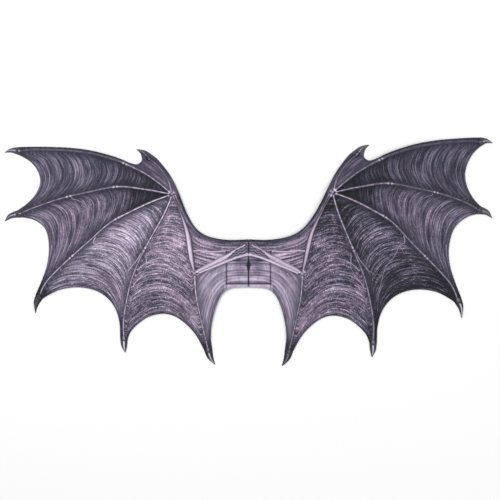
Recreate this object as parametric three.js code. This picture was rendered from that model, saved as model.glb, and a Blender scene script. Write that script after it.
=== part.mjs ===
// Costume bat wings, lying face up: two foam-backed fabric wings that meet at a centre seam,
// with raised bones and claws on the face, and a sewn patch with two strap loops underneath.
// Millimetres. +X runs along the right wing, +Y from the lowest claws to the thumbs, +Z up.
import * as THREE from "three";

// Overall size
const HALF_SPAN = 560; // seam to the tip of the first claw
const WING_HEIGHT = 512; // tip of the lowest claw to the top edge

// Panel
const PANEL_THICKNESS = 3;
const SEAM_GAP = 0.6; // between the two wings
const SEAT_GAP = 0.3; // between a piece and what it lies on
const WRIST_RISE = 12; // underside of the panel above the surface at the wrist
const ELBOW_RISE = 9;
const EDGE_RISE = 7; // at the leading edge beside the wrist
const BAY_SAG = 0.5; // share of its height that the membrane sinks between two fingers
const ELBOW_SAG = 0.15; // the same between finger 4 and the elbow, over the strap
const ARM_SAG = 0.3; // the same between the arm and the leading edge
const FINGER_SLOPE = 1.1; // how a finger comes down from the wrist to its tip: 1 is an even slope
const NOTCH_SLOPE = 2; // the same for the edge between finger 1 and the thumb
const SEAM_SLOPE_END = 0.5; // share of the body edge in which it rises to the seam

// Bones
const FINGER_HALF_WIDTH = 3.4;
const FINGER_HEIGHT = 2.6;
const FINGER_INSET = 7; // finger 1 lies this far inside the top edge
const KNUCKLE_SWELL = 0.45; // share by which a knuckle is wider and taller than its finger
const KNUCKLE_LENGTH = 7;
const FOREARM_HALF_WIDTH = 5.6;
const FOREARM_HEIGHT = 3.6;
const UPPER_ARM_HALF_WIDTH = 16; // at the seam
const UPPER_ARM_HEIGHT = 4.2;
const UPPER_ARM_END = 3; // from the seam to the end of the upper arm
const UPPER_ARM_SQUARE = 0.25; // share of the upper arm in which it turns from the seam's direction to square
const WRIST_RADIUS = 12.5;
const ELBOW_RADIUS = 11;
const JOINT_HEIGHT = 4.6;

// Claws
const CLAW_HALF_WIDTH = 5.4;
const CLAW_HEIGHT = 4.4;
const CLAW_COLLAR = 6; // length of claw that reaches back along its finger
const CLAW_TIP_MARGIN = 1.6; // panel that shows past the point of the claw

// Patch and straps
const PATCH_WIDTH = 101;
const PATCH_DEPTH = 76;
const PATCH_THICKNESS = 1.5;
const PATCH_CORNER = 5;
const CORNER_STEPS = 3; // flats round a corner of the patch
const STRAP_WIDTH = 20;
const STRAP_THICKNESS = 1.5;
const STRAP_SPREAD = 50; // between the middles of a loop's two runs
const STRAP_REACH = 250; // seam to the outer end of the loop
const STRAP_END = 16; // seam to the sewn ends
const STRAP_DROP = 14; // length in which a strap comes down from the patch to the surface

// How the wings lie: the right one is spread a little wider than the left one.
const SPREAD = 0.045; // share by which the right tip stands taller and the left one lower
const SLANT = 10; // distance that the wrists and the scallops of the upper edge lie towards the right
const SLANT_UP = [0.45, 0.85]; // heights between which the slant sets in, as shares of WING_HEIGHT
const SLANT_OUT = [0, 0.3]; // distances from the seam between which it sets in, as shares of HALF_SPAN
const SLANT_END = [0.85, 1]; // and between which it ends, so that the tips stay where they are

// Columns of the next tables: out from the seam, up from the lowest claw tip,
// as shares of HALF_SPAN and WING_HEIGHT.
const WRIST = [0.329, 0.769];
const ELBOW = [0.22, 0.411];
const PATCH_MIDDLE = [0, 0.437];
const LEADING_EDGE = [
  [0, 0.564],
  [0.074, 0.561],
  [0.139, 0.57],
  [0.189, 0.589],
  [0.227, 0.623],
  [0.261, 0.679],
  [0.284, 0.731],
  [0.3, 0.771],
];
const THUMB_EDGE = [
  [0.3, 0.771],
  [0.317, 0.812],
  [0.344, 0.865],
  [0.377, 0.913],
  [0.398, 0.939],
];
const THUMB_NOTCH = [
  [0.528, 0.928],
  [0.502, 0.915],
  [0.476, 0.908],
  [0.459, 0.918],
  [0.453, 0.93],
];
const FINGER_1_ROOT = [
  [0.329, 0.769],
  [0.367, 0.806],
  [0.408, 0.841],
  [0.449, 0.871],
  [0.49, 0.901],
  [0.528, 0.928],
];
const TOP_EDGE = [
  [0.528, 0.928],
  [0.574, 0.948],
  [0.656, 0.974],
  [0.738, 0.989],
  [0.82, 0.996],
  [0.893, 0.999],
  [0.947, 0.999],
];
const FINGER_2 = [
  [0.329, 0.769],
  [0.429, 0.791],
  [0.55, 0.807],
  [0.675, 0.783],
  [0.779, 0.757],
  [0.88, 0.719],
];
const FINGER_3 = [
  [0.329, 0.769],
  [0.408, 0.737],
  [0.492, 0.693],
  [0.576, 0.64],
  [0.658, 0.555],
  [0.781, 0.426],
  [0.832, 0.361],
];
const FINGER_4 = [
  [0.329, 0.769],
  [0.338, 0.731],
  [0.362, 0.664],
  [0.404, 0.57],
  [0.44, 0.487],
  [0.474, 0.395],
  [0.496, 0.3],
  [0.511, 0.197],
];
const FOREARM = [
  [0.329, 0.769],
  [0.302, 0.717],
  [0.267, 0.632],
  [0.25, 0.578],
  [0.24, 0.522],
  [0.231, 0.469],
  [0.22, 0.411],
];
const FINGER_5 = [
  [0.22, 0.411],
  [0.218, 0.354],
  [0.212, 0.296],
  [0.2, 0.231],
  [0.185, 0.157],
];
const THUMB = [
  [0.329, 0.769],
  [0.345, 0.83],
  [0.382, 0.892],
];
const UPPER_ARM = [
  [0, 0.519],
  [0.045, 0.502],
  [0.09, 0.48],
  [0.135, 0.456],
  [0.18, 0.433],
  [0.22, 0.411],
];
const SCALLOP_1 = [
  [0.941, 0.96],
  [0.908, 0.933],
  [0.883, 0.895],
  [0.87, 0.852],
  [0.873, 0.812],
  [0.889, 0.771],
  [0.916, 0.733],
  [0.947, 0.704],
];
const SCALLOP_2 = [
  [0.93, 0.671],
  [0.898, 0.664],
  [0.867, 0.646],
  [0.84, 0.617],
  [0.824, 0.572],
  [0.818, 0.511],
  [0.825, 0.448],
  [0.842, 0.388],
  [0.87, 0.312],
];
const SCALLOP_3 = [
  [0.844, 0.291],
  [0.82, 0.309],
  [0.77, 0.335],
  [0.705, 0.346],
  [0.643, 0.337],
  [0.592, 0.31],
  [0.555, 0.267],
  [0.534, 0.215],
  [0.525, 0.152],
  [0.525, 0.112],
];
const SCALLOP_4 = [
  [0.495, 0.112],
  [0.482, 0.146],
  [0.451, 0.182],
  [0.408, 0.214],
  [0.352, 0.228],
  [0.303, 0.217],
  [0.256, 0.182],
  [0.215, 0.132],
  [0.182, 0.067],
];
const BODY_EDGE = [
  [0.149, 0.07],
  [0.155, 0.121],
  [0.152, 0.177],
  [0.141, 0.235],
  [0.122, 0.294],
  [0.098, 0.331],
  [0.07, 0.347],
  [0.037, 0.351],
  [0, 0.352],
];

// The fabric under each claw, in the same shares. Columns: root and middle of its first edge,
// its tip, then middle and root of its second edge, going round the wing from the thumb down.
const CLAWS = {
  thumb_claw: [[0.398, 0.939], [0.439, 0.97], [0.476, 0.978], [0.459, 0.957], [0.453, 0.93]],
  claw_1: [[0.947, 0.999], [0.975, 0.993], [1, 0.975], [0.973, 0.975], [0.941, 0.96]],
  claw_2: [[0.947, 0.704], [0.982, 0.685], [0.998, 0.653], [0.969, 0.668], [0.93, 0.671]],
  claw_3: [[0.87, 0.312], [0.879, 0.274], [0.873, 0.223], [0.863, 0.258], [0.844, 0.291]],
  claw_4: [[0.525, 0.112], [0.52, 0.076], [0.505, 0.047], [0.499, 0.074], [0.495, 0.112]],
  claw_5: [[0.182, 0.067], [0.168, 0.031], [0.137, 0], [0.145, 0.034], [0.149, 0.07]],
};

// Columns: share of the way along, share of the half width, share of the height.
const FINGER_PROFILE = [
  [0, 0.72, 0.8],
  [0.1, 1, 1],
  [0.6, 0.9, 0.9],
  [1, 0.62, 0.7],
];
const FOREARM_PROFILE = [
  [0, 0.5, 0.7],
  [0.25, 0.8, 0.9],
  [0.6, 1, 1],
  [1, 0.8, 1],
];
const UPPER_ARM_PROFILE = [
  [0, 1, 0.8],
  [0.3, 0.72, 1],
  [0.7, 0.5, 1],
  [1, 0.44, 0.85],
];
const THUMB_PROFILE = [
  [0, 0.72, 0.8],
  [0.4, 1.1, 1],
  [1, 0.95, 1],
];
const CLAW_PROFILE = [
  [0, 0.8, 0.75],
  [0.1, 1, 1],
  [0.24, 0.98, 0.95],
  [0.32, 0.78, 0.8],
  [0.6, 0.6, 0.7],
  [0.85, 0.3, 0.45],
  [1, 0.08, 0.15],
];

// Sections of the raised pieces. Columns: across as a share of the half width, up as a share
// of the height.
const ROUND_SECTION = [
  [-1, 0],
  [-0.66, 0.72],
  [0, 1],
  [0.66, 0.72],
  [1, 0],
];
const TWIN_RIDGE_SECTION = [
  [-1, 0],
  [-0.9, 0.7],
  [-0.66, 1],
  [-0.3, 0.4],
  [0.3, 0.4],
  [0.66, 1],
  [0.9, 0.7],
  [1, 0],
];
const DOME_SECTION = [
  [0, 0],
  [1, 0],
  [0.94, 0.45],
  [0.6, 0.88],
  [0, 1],
];

// Where each finger has its knuckles, as shares of its length.
const KNUCKLES = {
  finger_1: [0.34],
  finger_2: [0.36, 0.68],
  finger_3: [0.33, 0.69],
  finger_4: [0.38],
  finger_5: [],
};

// Rows and columns of the panel's mesh
const FAN_ROWS = 14;
const FINGER_1_ROOT_ROWS = 5;
const FOREARM_ROWS = 7;
const SCALLOP_COLUMNS = 9;
const ARM_COLUMNS = 8;
const EDGE_COLUMNS = 5;
const CLAW_ROWS = 4;
const BONE_STATIONS = 12;
const DOME_SIDES = 14;
const SEAT_SAMPLES = 10; // places where a raised piece is measured against the panel, each way

const FABRIC = { color: 0x6b6776, roughness: 0.85, metalness: 0 };
const BONE = { color: 0xb7aebc, roughness: 0.6, metalness: 0 };
const CLAW = { color: 0x4a4652, roughness: 0.35, metalness: 0 };
const WEBBING = { color: 0x1d1c20, roughness: 0.8, metalness: 0 };
const BACKING = { color: 0x2a282e, roughness: 0.9, metalness: 0 };

const STRAP_BASE = PATCH_THICKNESS + SEAT_GAP;
const SEAM_RISE = STRAP_BASE + STRAP_THICKNESS + SEAT_GAP;
const PANEL_TOP = PANEL_THICKNESS + SEAT_GAP;

const place = ([out, up]) => new THREE.Vector2(out * HALF_SPAN, up * WING_HEIGHT);
const smooth = (low, high, value) => THREE.MathUtils.smoothstep(value, low, high);
const mix = THREE.MathUtils.lerp;

// The points of a table as a smooth line of evenly spaced points.
function line(table, count) {
  return new THREE.SplineCurve(table.map(place)).getSpacedPoints(count);
}

// Gives each point of a line its height: rise is called with the share of the way along.
function lifted(points, rise) {
  const last = points.length - 1;
  return points.map((p, i) => new THREE.Vector3(Math.max(p.x, SEAM_GAP / 2), p.y, rise(i / last)));
}

const flat = (points) => lifted(points, () => 0);
const fromTo = (first, last) => (share) => mix(first, last, share);
const rootOf = (claw) => place(CLAWS[claw][0]).add(place(CLAWS[claw][4])).multiplyScalar(0.5);
const shareOf = (point) => [point.x / HALF_SPAN, point.y / WING_HEIGHT];
const fingerLine = (table, claw, count) => line([...table, shareOf(rootOf(claw))], count);

// A grid of points that fills the space between four lines: left and right run up its sides,
// base and top run from left to right. Sag is the share of the height lost in the middle.
function bay(left, right, base, top, sag) {
  const rows = left.length - 1;
  const columns = base.length - 1;
  return left.map((unused, i) => {
    const v = i / rows;
    return base.map((unusedToo, j) => {
      const u = j / columns;
      const side = left[i].clone().lerp(right[i], u);
      const across = base[j].clone().lerp(top[j], v);
      const lowCorner = base[0].clone().lerp(base[columns], u);
      const highCorner = top[0].clone().lerp(top[columns], u);
      const point = side.add(across).sub(lowCorner.lerp(highCorner, v));
      point.z *= 1 - sag * Math.sin(Math.PI * u);
      return point;
    });
  });
}

// The fabric under a claw: rows of three points that close in on its tip.
function clawBay(claw) {
  const [rootA, middleA, tip, middleB, rootB] = CLAWS[claw];
  const first = line([rootA, middleA, tip], CLAW_ROWS);
  const second = line([rootB, middleB, tip], CLAW_ROWS);
  return first.map((a, i) => {
    const b = second[i];
    return flat([a, a.clone().add(b).multiplyScalar(0.5), b]);
  });
}

// The panel of one wing as bays between its bones, all sharing the points along them.
function panelBays() {
  const wrist = new THREE.Vector3(...place(WRIST), WRIST_RISE);
  const fingerRise = (share) => WRIST_RISE * (1 - share) ** FINGER_SLOPE;
  const knuckleShare = FINGER_1_ROOT_ROWS / FAN_ROWS;
  const rootRise = (share) => fingerRise(share * knuckleShare);
  const topRise = (share) => fingerRise(mix(knuckleShare, 1, share));
  const fingerOneRoot = lifted(line(FINGER_1_ROOT, FINGER_1_ROOT_ROWS), rootRise);
  const topEdge = lifted(line(TOP_EDGE, FAN_ROWS - FINGER_1_ROOT_ROWS), topRise);
  const fingerOne = [...fingerOneRoot, ...topEdge.slice(1)];
  const fingerTwo = lifted(fingerLine(FINGER_2, "claw_2", FAN_ROWS), fingerRise);
  const fingerThree = lifted(fingerLine(FINGER_3, "claw_3", FAN_ROWS), fingerRise);
  const fingerFour = lifted(fingerLine(FINGER_4, "claw_4", FAN_ROWS), fingerRise);
  const forearm = lifted(line(FOREARM, FOREARM_ROWS), fromTo(WRIST_RISE, ELBOW_RISE));
  const fiveRise = (share) => ELBOW_RISE * (1 - share) ** FINGER_SLOPE;
  const fingerFive = lifted(fingerLine(FINGER_5, "claw_5", FAN_ROWS - FOREARM_ROWS), fiveRise);
  const armAndFive = [...forearm, ...fingerFive.slice(1)];
  const upperArm = lifted(line(UPPER_ARM, ARM_COLUMNS), fromTo(SEAM_RISE, ELBOW_RISE));
  const armAndForearm = [...upperArm, ...forearm.slice(0, -1).reverse()];

  const apex = (columns) => Array.from({ length: columns + 1 }, () => wrist.clone());
  const scallop = (before, table, after, lead = []) => {
    const edge = line(table, SCALLOP_COLUMNS);
    return flat([...lead, rootOf(before), ...edge, rootOf(after)]);
  };
  const outer1 = scallop("claw_1", SCALLOP_1, "claw_2", [place(TOP_EDGE.at(-1))]);
  const outer2 = scallop("claw_2", SCALLOP_2, "claw_3");
  const outer3 = scallop("claw_3", SCALLOP_3, "claw_4");
  const outer4 = scallop("claw_4", SCALLOP_4, "claw_5");

  const armRows = ARM_COLUMNS + FOREARM_ROWS;
  const leading = lifted(line(LEADING_EDGE, armRows), fromTo(SEAM_RISE, EDGE_RISE));
  const seamTop = lifted([upperArm[0], leading[0]], () => SEAM_RISE);
  const seamSteps = spaced(seamTop[0], seamTop[1], EDGE_COLUMNS);
  const wristSteps = spaced(wrist, leading.at(-1), EDGE_COLUMNS);
  const thumbEdge = lifted(line(THUMB_EDGE, FINGER_1_ROOT_ROWS), (s) => EDGE_RISE * (1 - s));
  const notchRise = (share) => fingerRise(knuckleShare) * (1 - share) ** NOTCH_SLOPE;
  const notch = line(THUMB_NOTCH, EDGE_COLUMNS - 2);
  const notchLine = [...notch, rootOf("thumb_claw"), place(CLAWS.thumb_claw[0])];
  const notchTop = lifted(notchLine, notchRise);

  const bodyRise = (share) => SEAM_RISE * smooth(0, SEAM_SLOPE_END, share);
  const bodyLine = [rootOf("claw_5"), ...line(BODY_EDGE, ARM_COLUMNS - 1)];
  const bodyEdge = lifted(bodyLine, bodyRise).reverse();
  const seamLow = spaced(upperArm[0], bodyEdge[0], FAN_ROWS - FOREARM_ROWS);

  return [
    bay(fingerOne, fingerTwo, apex(SCALLOP_COLUMNS + 3), outer1, BAY_SAG),
    bay(fingerTwo, fingerThree, apex(SCALLOP_COLUMNS + 2), outer2, BAY_SAG),
    bay(fingerThree, fingerFour, apex(SCALLOP_COLUMNS + 2), outer3, BAY_SAG),
    bay(fingerFour, armAndFive, apex(SCALLOP_COLUMNS + 2), outer4, ELBOW_SAG),
    bay(armAndForearm, leading, seamSteps, wristSteps, ARM_SAG),
    bay(fingerOneRoot, thumbEdge, wristSteps, notchTop, 0),
    bay(seamLow, fingerFive, upperArm, bodyEdge, 0),
    ...Object.keys(CLAWS).map(clawBay),
  ];
}

// Evenly spaced points on the straight line between two points.
function spaced(first, last, count) {
  return Array.from({ length: count + 1 }, (unused, i) => first.clone().lerp(last, i / count));
}

// Joins the bays into one skin: shared points once, triangles facing up.
function skinOf(bays) {
  const points = [];
  const triangles = [];
  const known = new Map();
  const indexOf = (p) => {
    const key = `${p.x.toFixed(2)} ${p.y.toFixed(2)}`;
    if (!known.has(key)) {
      known.set(key, points.length);
      points.push(p);
    }
    return known.get(key);
  };
  const addTriangle = (a, b, c) => {
    if (a === b || b === c || c === a) return;
    const turn = turnOf(points[a], points[b], points[c]);
    triangles.push(turn > 0 ? [a, b, c] : [a, c, b]);
  };
  for (const grid of bays) {
    const index = grid.map((row) => row.map(indexOf));
    for (let i = 1; i < index.length; i++) {
      for (let j = 1; j < index[i].length; j++) {
        const [a, b, c, d] = [index[i - 1][j - 1], index[i - 1][j], index[i][j], index[i][j - 1]];
        const along = points[a].distanceTo(points[c]) <= points[b].distanceTo(points[d]);
        addTriangle(a, b, along ? c : d);
        addTriangle(along ? a : b, c, d);
      }
    }
  }
  return { points, triangles };
}

// Twice the area of a triangle seen from above, positive when it turns to the left.
function turnOf(a, b, c) {
  return (b.x - a.x) * (c.y - a.y) - (b.y - a.y) * (c.x - a.x);
}

// The closed solid of one thickness that stands on a skin.
function thickened({ points, triangles }, thickness) {
  const count = points.length;
  const positions = [];
  for (const lift of [0, thickness]) {
    for (const p of points) positions.push(p.x, p.y, p.z + lift);
  }
  const index = [];
  const edges = new Set();
  for (const [a, b, c] of triangles) {
    index.push(a, c, b, a + count, b + count, c + count);
    for (const edge of [[a, b], [b, c], [c, a]]) edges.add(edge.join(" "));
  }
  for (const edge of edges) {
    const [a, b] = edge.split(" ").map(Number);
    if (edges.has(`${b} ${a}`)) continue;
    index.push(a, b, b + count, a, b + count, a + count);
  }
  return meshOf(positions, index);
}

function meshOf(positions, index) {
  const geometry = new THREE.BufferGeometry();
  geometry.setAttribute("position", new THREE.Float32BufferAttribute(positions, 3));
  geometry.setIndex(index);
  geometry.computeVertexNormals();
  return geometry;
}

// Height of the skin at a place, or nothing outside it.
function heightAt({ points, triangles }, x, y) {
  const here = { x, y };
  for (const [a, b, c] of triangles) {
    const [pa, pb, pc] = [points[a], points[b], points[c]];
    const whole = turnOf(pa, pb, pc);
    const shareA = turnOf(here, pb, pc) / whole;
    const shareB = turnOf(pa, here, pc) / whole;
    const shareC = 1 - shareA - shareB;
    if (Math.min(shareA, shareB, shareC) > -1e-6) {
      return shareA * pa.z + shareB * pb.z + shareC * pc.z;
    }
  }
  return -Infinity;
}

// Evenly spread numbers from the first to the last.
function spread(first, last, count) {
  return Array.from({ length: count + 1 }, (unused, i) => mix(first, last, i / count));
}

// The seat of a piece that lies on the panel: clear of the skin at all the given places.
function seatAt(skin, places) {
  const heights = places.map((p) => heightAt(skin, p.x, p.y));
  return Math.max(...heights) + PANEL_TOP;
}

// Reads a profile table at a share of the way along, joining its rows with straight lines.
function readProfile(table, share) {
  const after = Math.max(1, table.findIndex((row) => row[0] >= share));
  const [start, end] = [table[after - 1], table[after]];
  const part = (share - start[0]) / (end[0] - start[0]);
  return [mix(start[1], end[1], part), mix(start[2], end[2], part)];
}

// A raised piece along a line on the panel, short of its ends by start and end. Up to the share
// squareTo its sections turn from parallel to the seam to square across the line.
function ridge(skin, table, shape) {
  const { halfWidth, height, profile, section } = shape;
  const { start = 0, end = 0, knuckles = [], squareTo = 0 } = shape;
  const curve = new THREE.SplineCurve(table);
  const length = curve.getLength();
  const shares = new Set(spread(0, 1, BONE_STATIONS));
  const swell = KNUCKLE_LENGTH / length;
  for (const knuckle of knuckles) {
    for (const step of [-1, 0, 1]) shares.add(knuckle + step * swell);
  }
  const stations = [...shares].sort((a, b) => a - b);
  const rings = stations.map((share) => {
    const at = mix(start, length - end, share) / length;
    const middle = curve.getPointAt(at);
    const along = curve.getTangentAt(at);
    const [wide, tall] = readProfile(profile, share);
    const near = knuckles.some((knuckle) => Math.abs(knuckle - share) < swell / 2);
    const grow = near ? 1 + KNUCKLE_SWELL : 1;
    const reach = new THREE.Vector2(along.y, -along.x).multiplyScalar(halfWidth * wide * grow);
    reach.x *= Math.min(1, squareTo ? share / squareTo : 1);
    return { middle, reach, height: height * tall * grow };
  });
  const seats = seatsOf(skin, rings);
  const positions = rings.flatMap(({ middle, reach, height: tall }, i) =>
    section.flatMap(([side, up]) => [
      middle.x + reach.x * side,
      middle.y + reach.y * side,
      seats[i] + up * tall,
    ]),
  );
  return tubeOf(positions, section, rings.length);
}

// The seat of each ring of a ridge, raised where the panel stands higher between two rings.
function seatsOf(skin, rings) {
  const across = spread(-1, 1, SEAT_SAMPLES);
  const between = spread(0, 1, SEAT_SAMPLES).slice(1, -1);
  const placesOf = (middle, reach) => across.map((side) => middle.clone().addScaledVector(reach, side));
  const seats = rings.map(({ middle, reach }) => seatAt(skin, placesOf(middle, reach)));
  for (let i = 1; i < rings.length; i++) {
    const [before, after] = [rings[i - 1], rings[i]];
    const shortfalls = between.map((share) => {
      const middle = before.middle.clone().lerp(after.middle, share);
      const reach = before.reach.clone().lerp(after.reach, share);
      return seatAt(skin, placesOf(middle, reach)) - mix(seats[i - 1], seats[i], share);
    });
    const lift = Math.max(0, ...shortfalls);
    seats[i - 1] += lift;
    seats[i] += lift;
  }
  return seats;
}

// Joins rings of section points into a closed body.
function tubeOf(positions, section, rings) {
  const size = section.length;
  const index = [];
  for (let ring = 1; ring < rings; ring++) {
    for (let i = 0; i < size; i++) {
      const next = (i + 1) % size;
      const [a, b] = [(ring - 1) * size + i, (ring - 1) * size + next];
      index.push(a, b, b + size, a, b + size, a + size);
    }
  }
  const outline = section.map(([x, y]) => new THREE.Vector2(x, y));
  const last = (rings - 1) * size;
  for (const [a, b, c] of THREE.ShapeUtils.triangulateShape(outline, [])) {
    const [i, j, k] = turnOf(outline[a], outline[b], outline[c]) > 0 ? [a, b, c] : [a, c, b];
    index.push(i, j, k, last + i, last + k, last + j);
  }
  return meshOf(positions, index);
}

// A low dome where bones meet.
function joint(skin, centre, radius) {
  const at = place(centre);
  const rim = Array.from({ length: DOME_SIDES }, (unused, i) => {
    const angle = (i * 2 * Math.PI) / DOME_SIDES;
    return at.clone().add(new THREE.Vector2(Math.cos(angle), Math.sin(angle)).multiplyScalar(radius));
  });
  const profile = DOME_SECTION.map(([out, up]) => new THREE.Vector2(out * radius, up * JOINT_HEIGHT));
  const dome = new THREE.LatheGeometry(profile, DOME_SIDES).rotateX(Math.PI / 2);
  return dome.translate(at.x, at.y, seatAt(skin, [at, ...rim]));
}

// The line of a claw: back along its finger, over its root and out to its tip.
function clawLine(claw, fingerEnd) {
  const [, middleA, tip, middleB] = CLAWS[claw].map(place);
  const root = rootOf(claw);
  const back = root.clone().sub(fingerEnd).setLength(CLAW_COLLAR);
  const middle = middleA.add(middleB).multiplyScalar(0.5);
  const point = tip.clone().sub(tip.clone().sub(middle).setLength(CLAW_TIP_MARGIN));
  return [root.clone().sub(back), root, middle, point];
}

// All pieces of one wing, as the right wing.
function wingPieces() {
  const skin = skinOf(panelBays());
  const wristStart = WRIST_RADIUS + SEAT_GAP;
  const elbowStart = ELBOW_RADIUS + SEAT_GAP;
  const clawStart = CLAW_COLLAR + SEAT_GAP;
  const inset = new THREE.Vector2(0, -FINGER_INSET);
  const fingerOne = [
    ...FINGER_1_ROOT.slice(0, -2).map(place),
    ...TOP_EDGE.slice(0, -1).map((row) => place(row).add(inset)),
  ];
  const lines = {
    finger_1: [...fingerOne, rootOf("claw_1")],
    finger_2: [...FINGER_2.map(place), rootOf("claw_2")],
    finger_3: [...FINGER_3.map(place), rootOf("claw_3")],
    finger_4: [...FINGER_4.map(place), rootOf("claw_4")],
    finger_5: [...FINGER_5.map(place), rootOf("claw_5")],
    thumb: [...THUMB.map(place), rootOf("thumb_claw")],
  };
  const finger = { halfWidth: FINGER_HALF_WIDTH, height: FINGER_HEIGHT, profile: FINGER_PROFILE };
  const pieces = [["wing_panel", thickened(skin, PANEL_THICKNESS), FABRIC]];
  for (const [name, points] of Object.entries(lines)) {
    const start = name === "finger_5" ? elbowStart : wristStart;
    const profile = name === "thumb" ? THUMB_PROFILE : FINGER_PROFILE;
    const shape = { ...finger, profile, section: ROUND_SECTION, start, end: clawStart };
    pieces.push([name, ridge(skin, points, { ...shape, knuckles: KNUCKLES[name] }), BONE]);
    const claw = name === "thumb" ? "thumb_claw" : name.replace("finger", "claw");
    const clawShape = { halfWidth: CLAW_HALF_WIDTH, height: CLAW_HEIGHT, profile: CLAW_PROFILE };
    const clawPoints = clawLine(claw, points.at(-2));
    pieces.push([claw, ridge(skin, clawPoints, { ...clawShape, section: ROUND_SECTION }), CLAW]);
  }
  const forearm = {
    halfWidth: FOREARM_HALF_WIDTH,
    height: FOREARM_HEIGHT,
    profile: FOREARM_PROFILE,
    section: ROUND_SECTION,
    start: wristStart,
    end: elbowStart,
  };
  pieces.push(["forearm", ridge(skin, FOREARM.map(place), forearm), BONE]);
  const upperArm = {
    halfWidth: UPPER_ARM_HALF_WIDTH,
    height: UPPER_ARM_HEIGHT,
    profile: UPPER_ARM_PROFILE,
    section: TWIN_RIDGE_SECTION,
    start: UPPER_ARM_END,
    end: elbowStart,
    squareTo: UPPER_ARM_SQUARE,
  };
  pieces.push(["upper_arm", ridge(skin, UPPER_ARM.map(place), upperArm), BONE]);
  pieces.push(["wrist_joint", joint(skin, WRIST, WRIST_RADIUS), BONE]);
  pieces.push(["elbow_joint", joint(skin, ELBOW, ELBOW_RADIUS), BONE]);
  return pieces;
}

// The same shape on the other side of the seam, still facing outwards.
function mirrored(geometry) {
  const copy = geometry.clone().scale(-1, 1, 1);
  const index = copy.index;
  for (let i = 0; i < index.count; i += 3) {
    const held = index.getX(i);
    index.setX(i, index.getX(i + 1));
    index.setX(i + 1, held);
  }
  copy.computeVertexNormals();
  return copy;
}

// Moves the points of a wing to where they lie when the right wing is spread wider than the left.
function laidAskew(geometry) {
  const points = geometry.attributes.position;
  for (let i = 0; i < points.count; i++) {
    const out = points.getX(i) / HALF_SPAN;
    const up = points.getY(i) / WING_HEIGHT;
    const slant = SLANT * smooth(...SLANT_UP, up) * smooth(...SLANT_OUT, Math.abs(out));
    const slanted = slant * (1 - smooth(...SLANT_END, Math.abs(out)));
    const widened = SPREAD * WING_HEIGHT * out * (up - 0.5);
    points.setXY(i, points.getX(i) + slanted, points.getY(i) + widened);
  }
  geometry.computeVertexNormals();
  return geometry;
}

// A flat strap that leaves the patch, comes down to the surface, turns twice with folded corners
// and goes back the same way.
function strapLoop() {
  const outer = (STRAP_SPREAD + STRAP_WIDTH) / 2;
  const inner = (STRAP_SPREAD - STRAP_WIDTH) / 2;
  const turn = STRAP_REACH - STRAP_WIDTH;
  const edge = PATCH_WIDTH / 2 + SEAT_GAP;
  const straight = [
    [STRAP_END, STRAP_BASE],
    [edge, STRAP_BASE],
    [edge + STRAP_DROP, 0],
    [turn, 0],
  ];
  const run = straight.map(([x, z]) => [new THREE.Vector3(x, outer, z), new THREE.Vector3(x, inner, z)]);
  run.push([new THREE.Vector3(STRAP_REACH, inner, 0), new THREE.Vector3(turn, inner, 0)]);
  const back = run.map((row) => row.map((p) => new THREE.Vector3(p.x, -p.y, p.z))).reverse();
  return thickened(skinOf([[...run, ...back]]), STRAP_THICKNESS);
}

// The rectangle with round corners that the stitched box holds under the seam.
function patch() {
  const [x, y, r] = [PATCH_WIDTH / 2, PATCH_DEPTH / 2, PATCH_CORNER];
  const shape = new THREE.Shape();
  shape.absarc(x - r, y - r, r, 0, Math.PI / 2);
  shape.absarc(r - x, y - r, r, Math.PI / 2, Math.PI);
  shape.absarc(r - x, r - y, r, Math.PI, 1.5 * Math.PI);
  shape.absarc(x - r, r - y, r, 1.5 * Math.PI, 2 * Math.PI);
  const settings = { depth: PATCH_THICKNESS, bevelEnabled: false, curveSegments: CORNER_STEPS };
  return new THREE.ExtrudeGeometry(shape, settings);
}

function meshNamed(name, geometry, finish) {
  const mesh = new THREE.Mesh(geometry, new THREE.MeshStandardMaterial(finish));
  mesh.name = name;
  return mesh;
}

const group = new THREE.Group();
const wings = new THREE.Group();
group.add(wings);
for (const [name, geometry, finish] of wingPieces()) {
  wings.add(meshNamed(`left_${name}`, laidAskew(mirrored(geometry)), finish));
  wings.add(meshNamed(`right_${name}`, laidAskew(geometry), finish));
}
const under = new THREE.Group();
under.position.copy(new THREE.Vector3(...place(PATCH_MIDDLE), 0));
wings.add(under);
const loop = strapLoop();
under.add(meshNamed("back_patch", patch(), BACKING));
under.add(meshNamed("right_strap", loop, WEBBING));
under.add(meshNamed("left_strap", mirrored(loop), WEBBING));

// The origin is under the middle of the outline.
wings.position.y = -new THREE.Box3().setFromObject(wings).getCenter(new THREE.Vector3()).y;

export default group;
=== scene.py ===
import math

import bpy
import numpy as np
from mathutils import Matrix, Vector
from mathutils.bvhtree import BVHTree
from mathutils.kdtree import KDTree


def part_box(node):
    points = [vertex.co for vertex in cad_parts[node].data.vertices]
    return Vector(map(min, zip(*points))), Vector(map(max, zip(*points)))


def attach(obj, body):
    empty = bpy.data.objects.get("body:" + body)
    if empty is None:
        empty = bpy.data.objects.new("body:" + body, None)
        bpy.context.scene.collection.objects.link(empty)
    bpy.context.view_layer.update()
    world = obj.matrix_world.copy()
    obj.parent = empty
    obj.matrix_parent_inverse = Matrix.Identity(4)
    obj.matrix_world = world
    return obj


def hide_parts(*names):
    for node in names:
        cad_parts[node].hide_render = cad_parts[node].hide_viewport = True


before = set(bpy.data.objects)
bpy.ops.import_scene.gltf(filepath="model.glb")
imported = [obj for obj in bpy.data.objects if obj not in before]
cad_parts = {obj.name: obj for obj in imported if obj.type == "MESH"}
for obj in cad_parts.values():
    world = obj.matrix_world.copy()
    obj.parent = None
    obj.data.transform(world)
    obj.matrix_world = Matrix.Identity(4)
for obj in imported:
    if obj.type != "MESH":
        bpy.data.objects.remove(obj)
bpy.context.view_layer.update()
SCENE = bpy.context.scene

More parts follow.
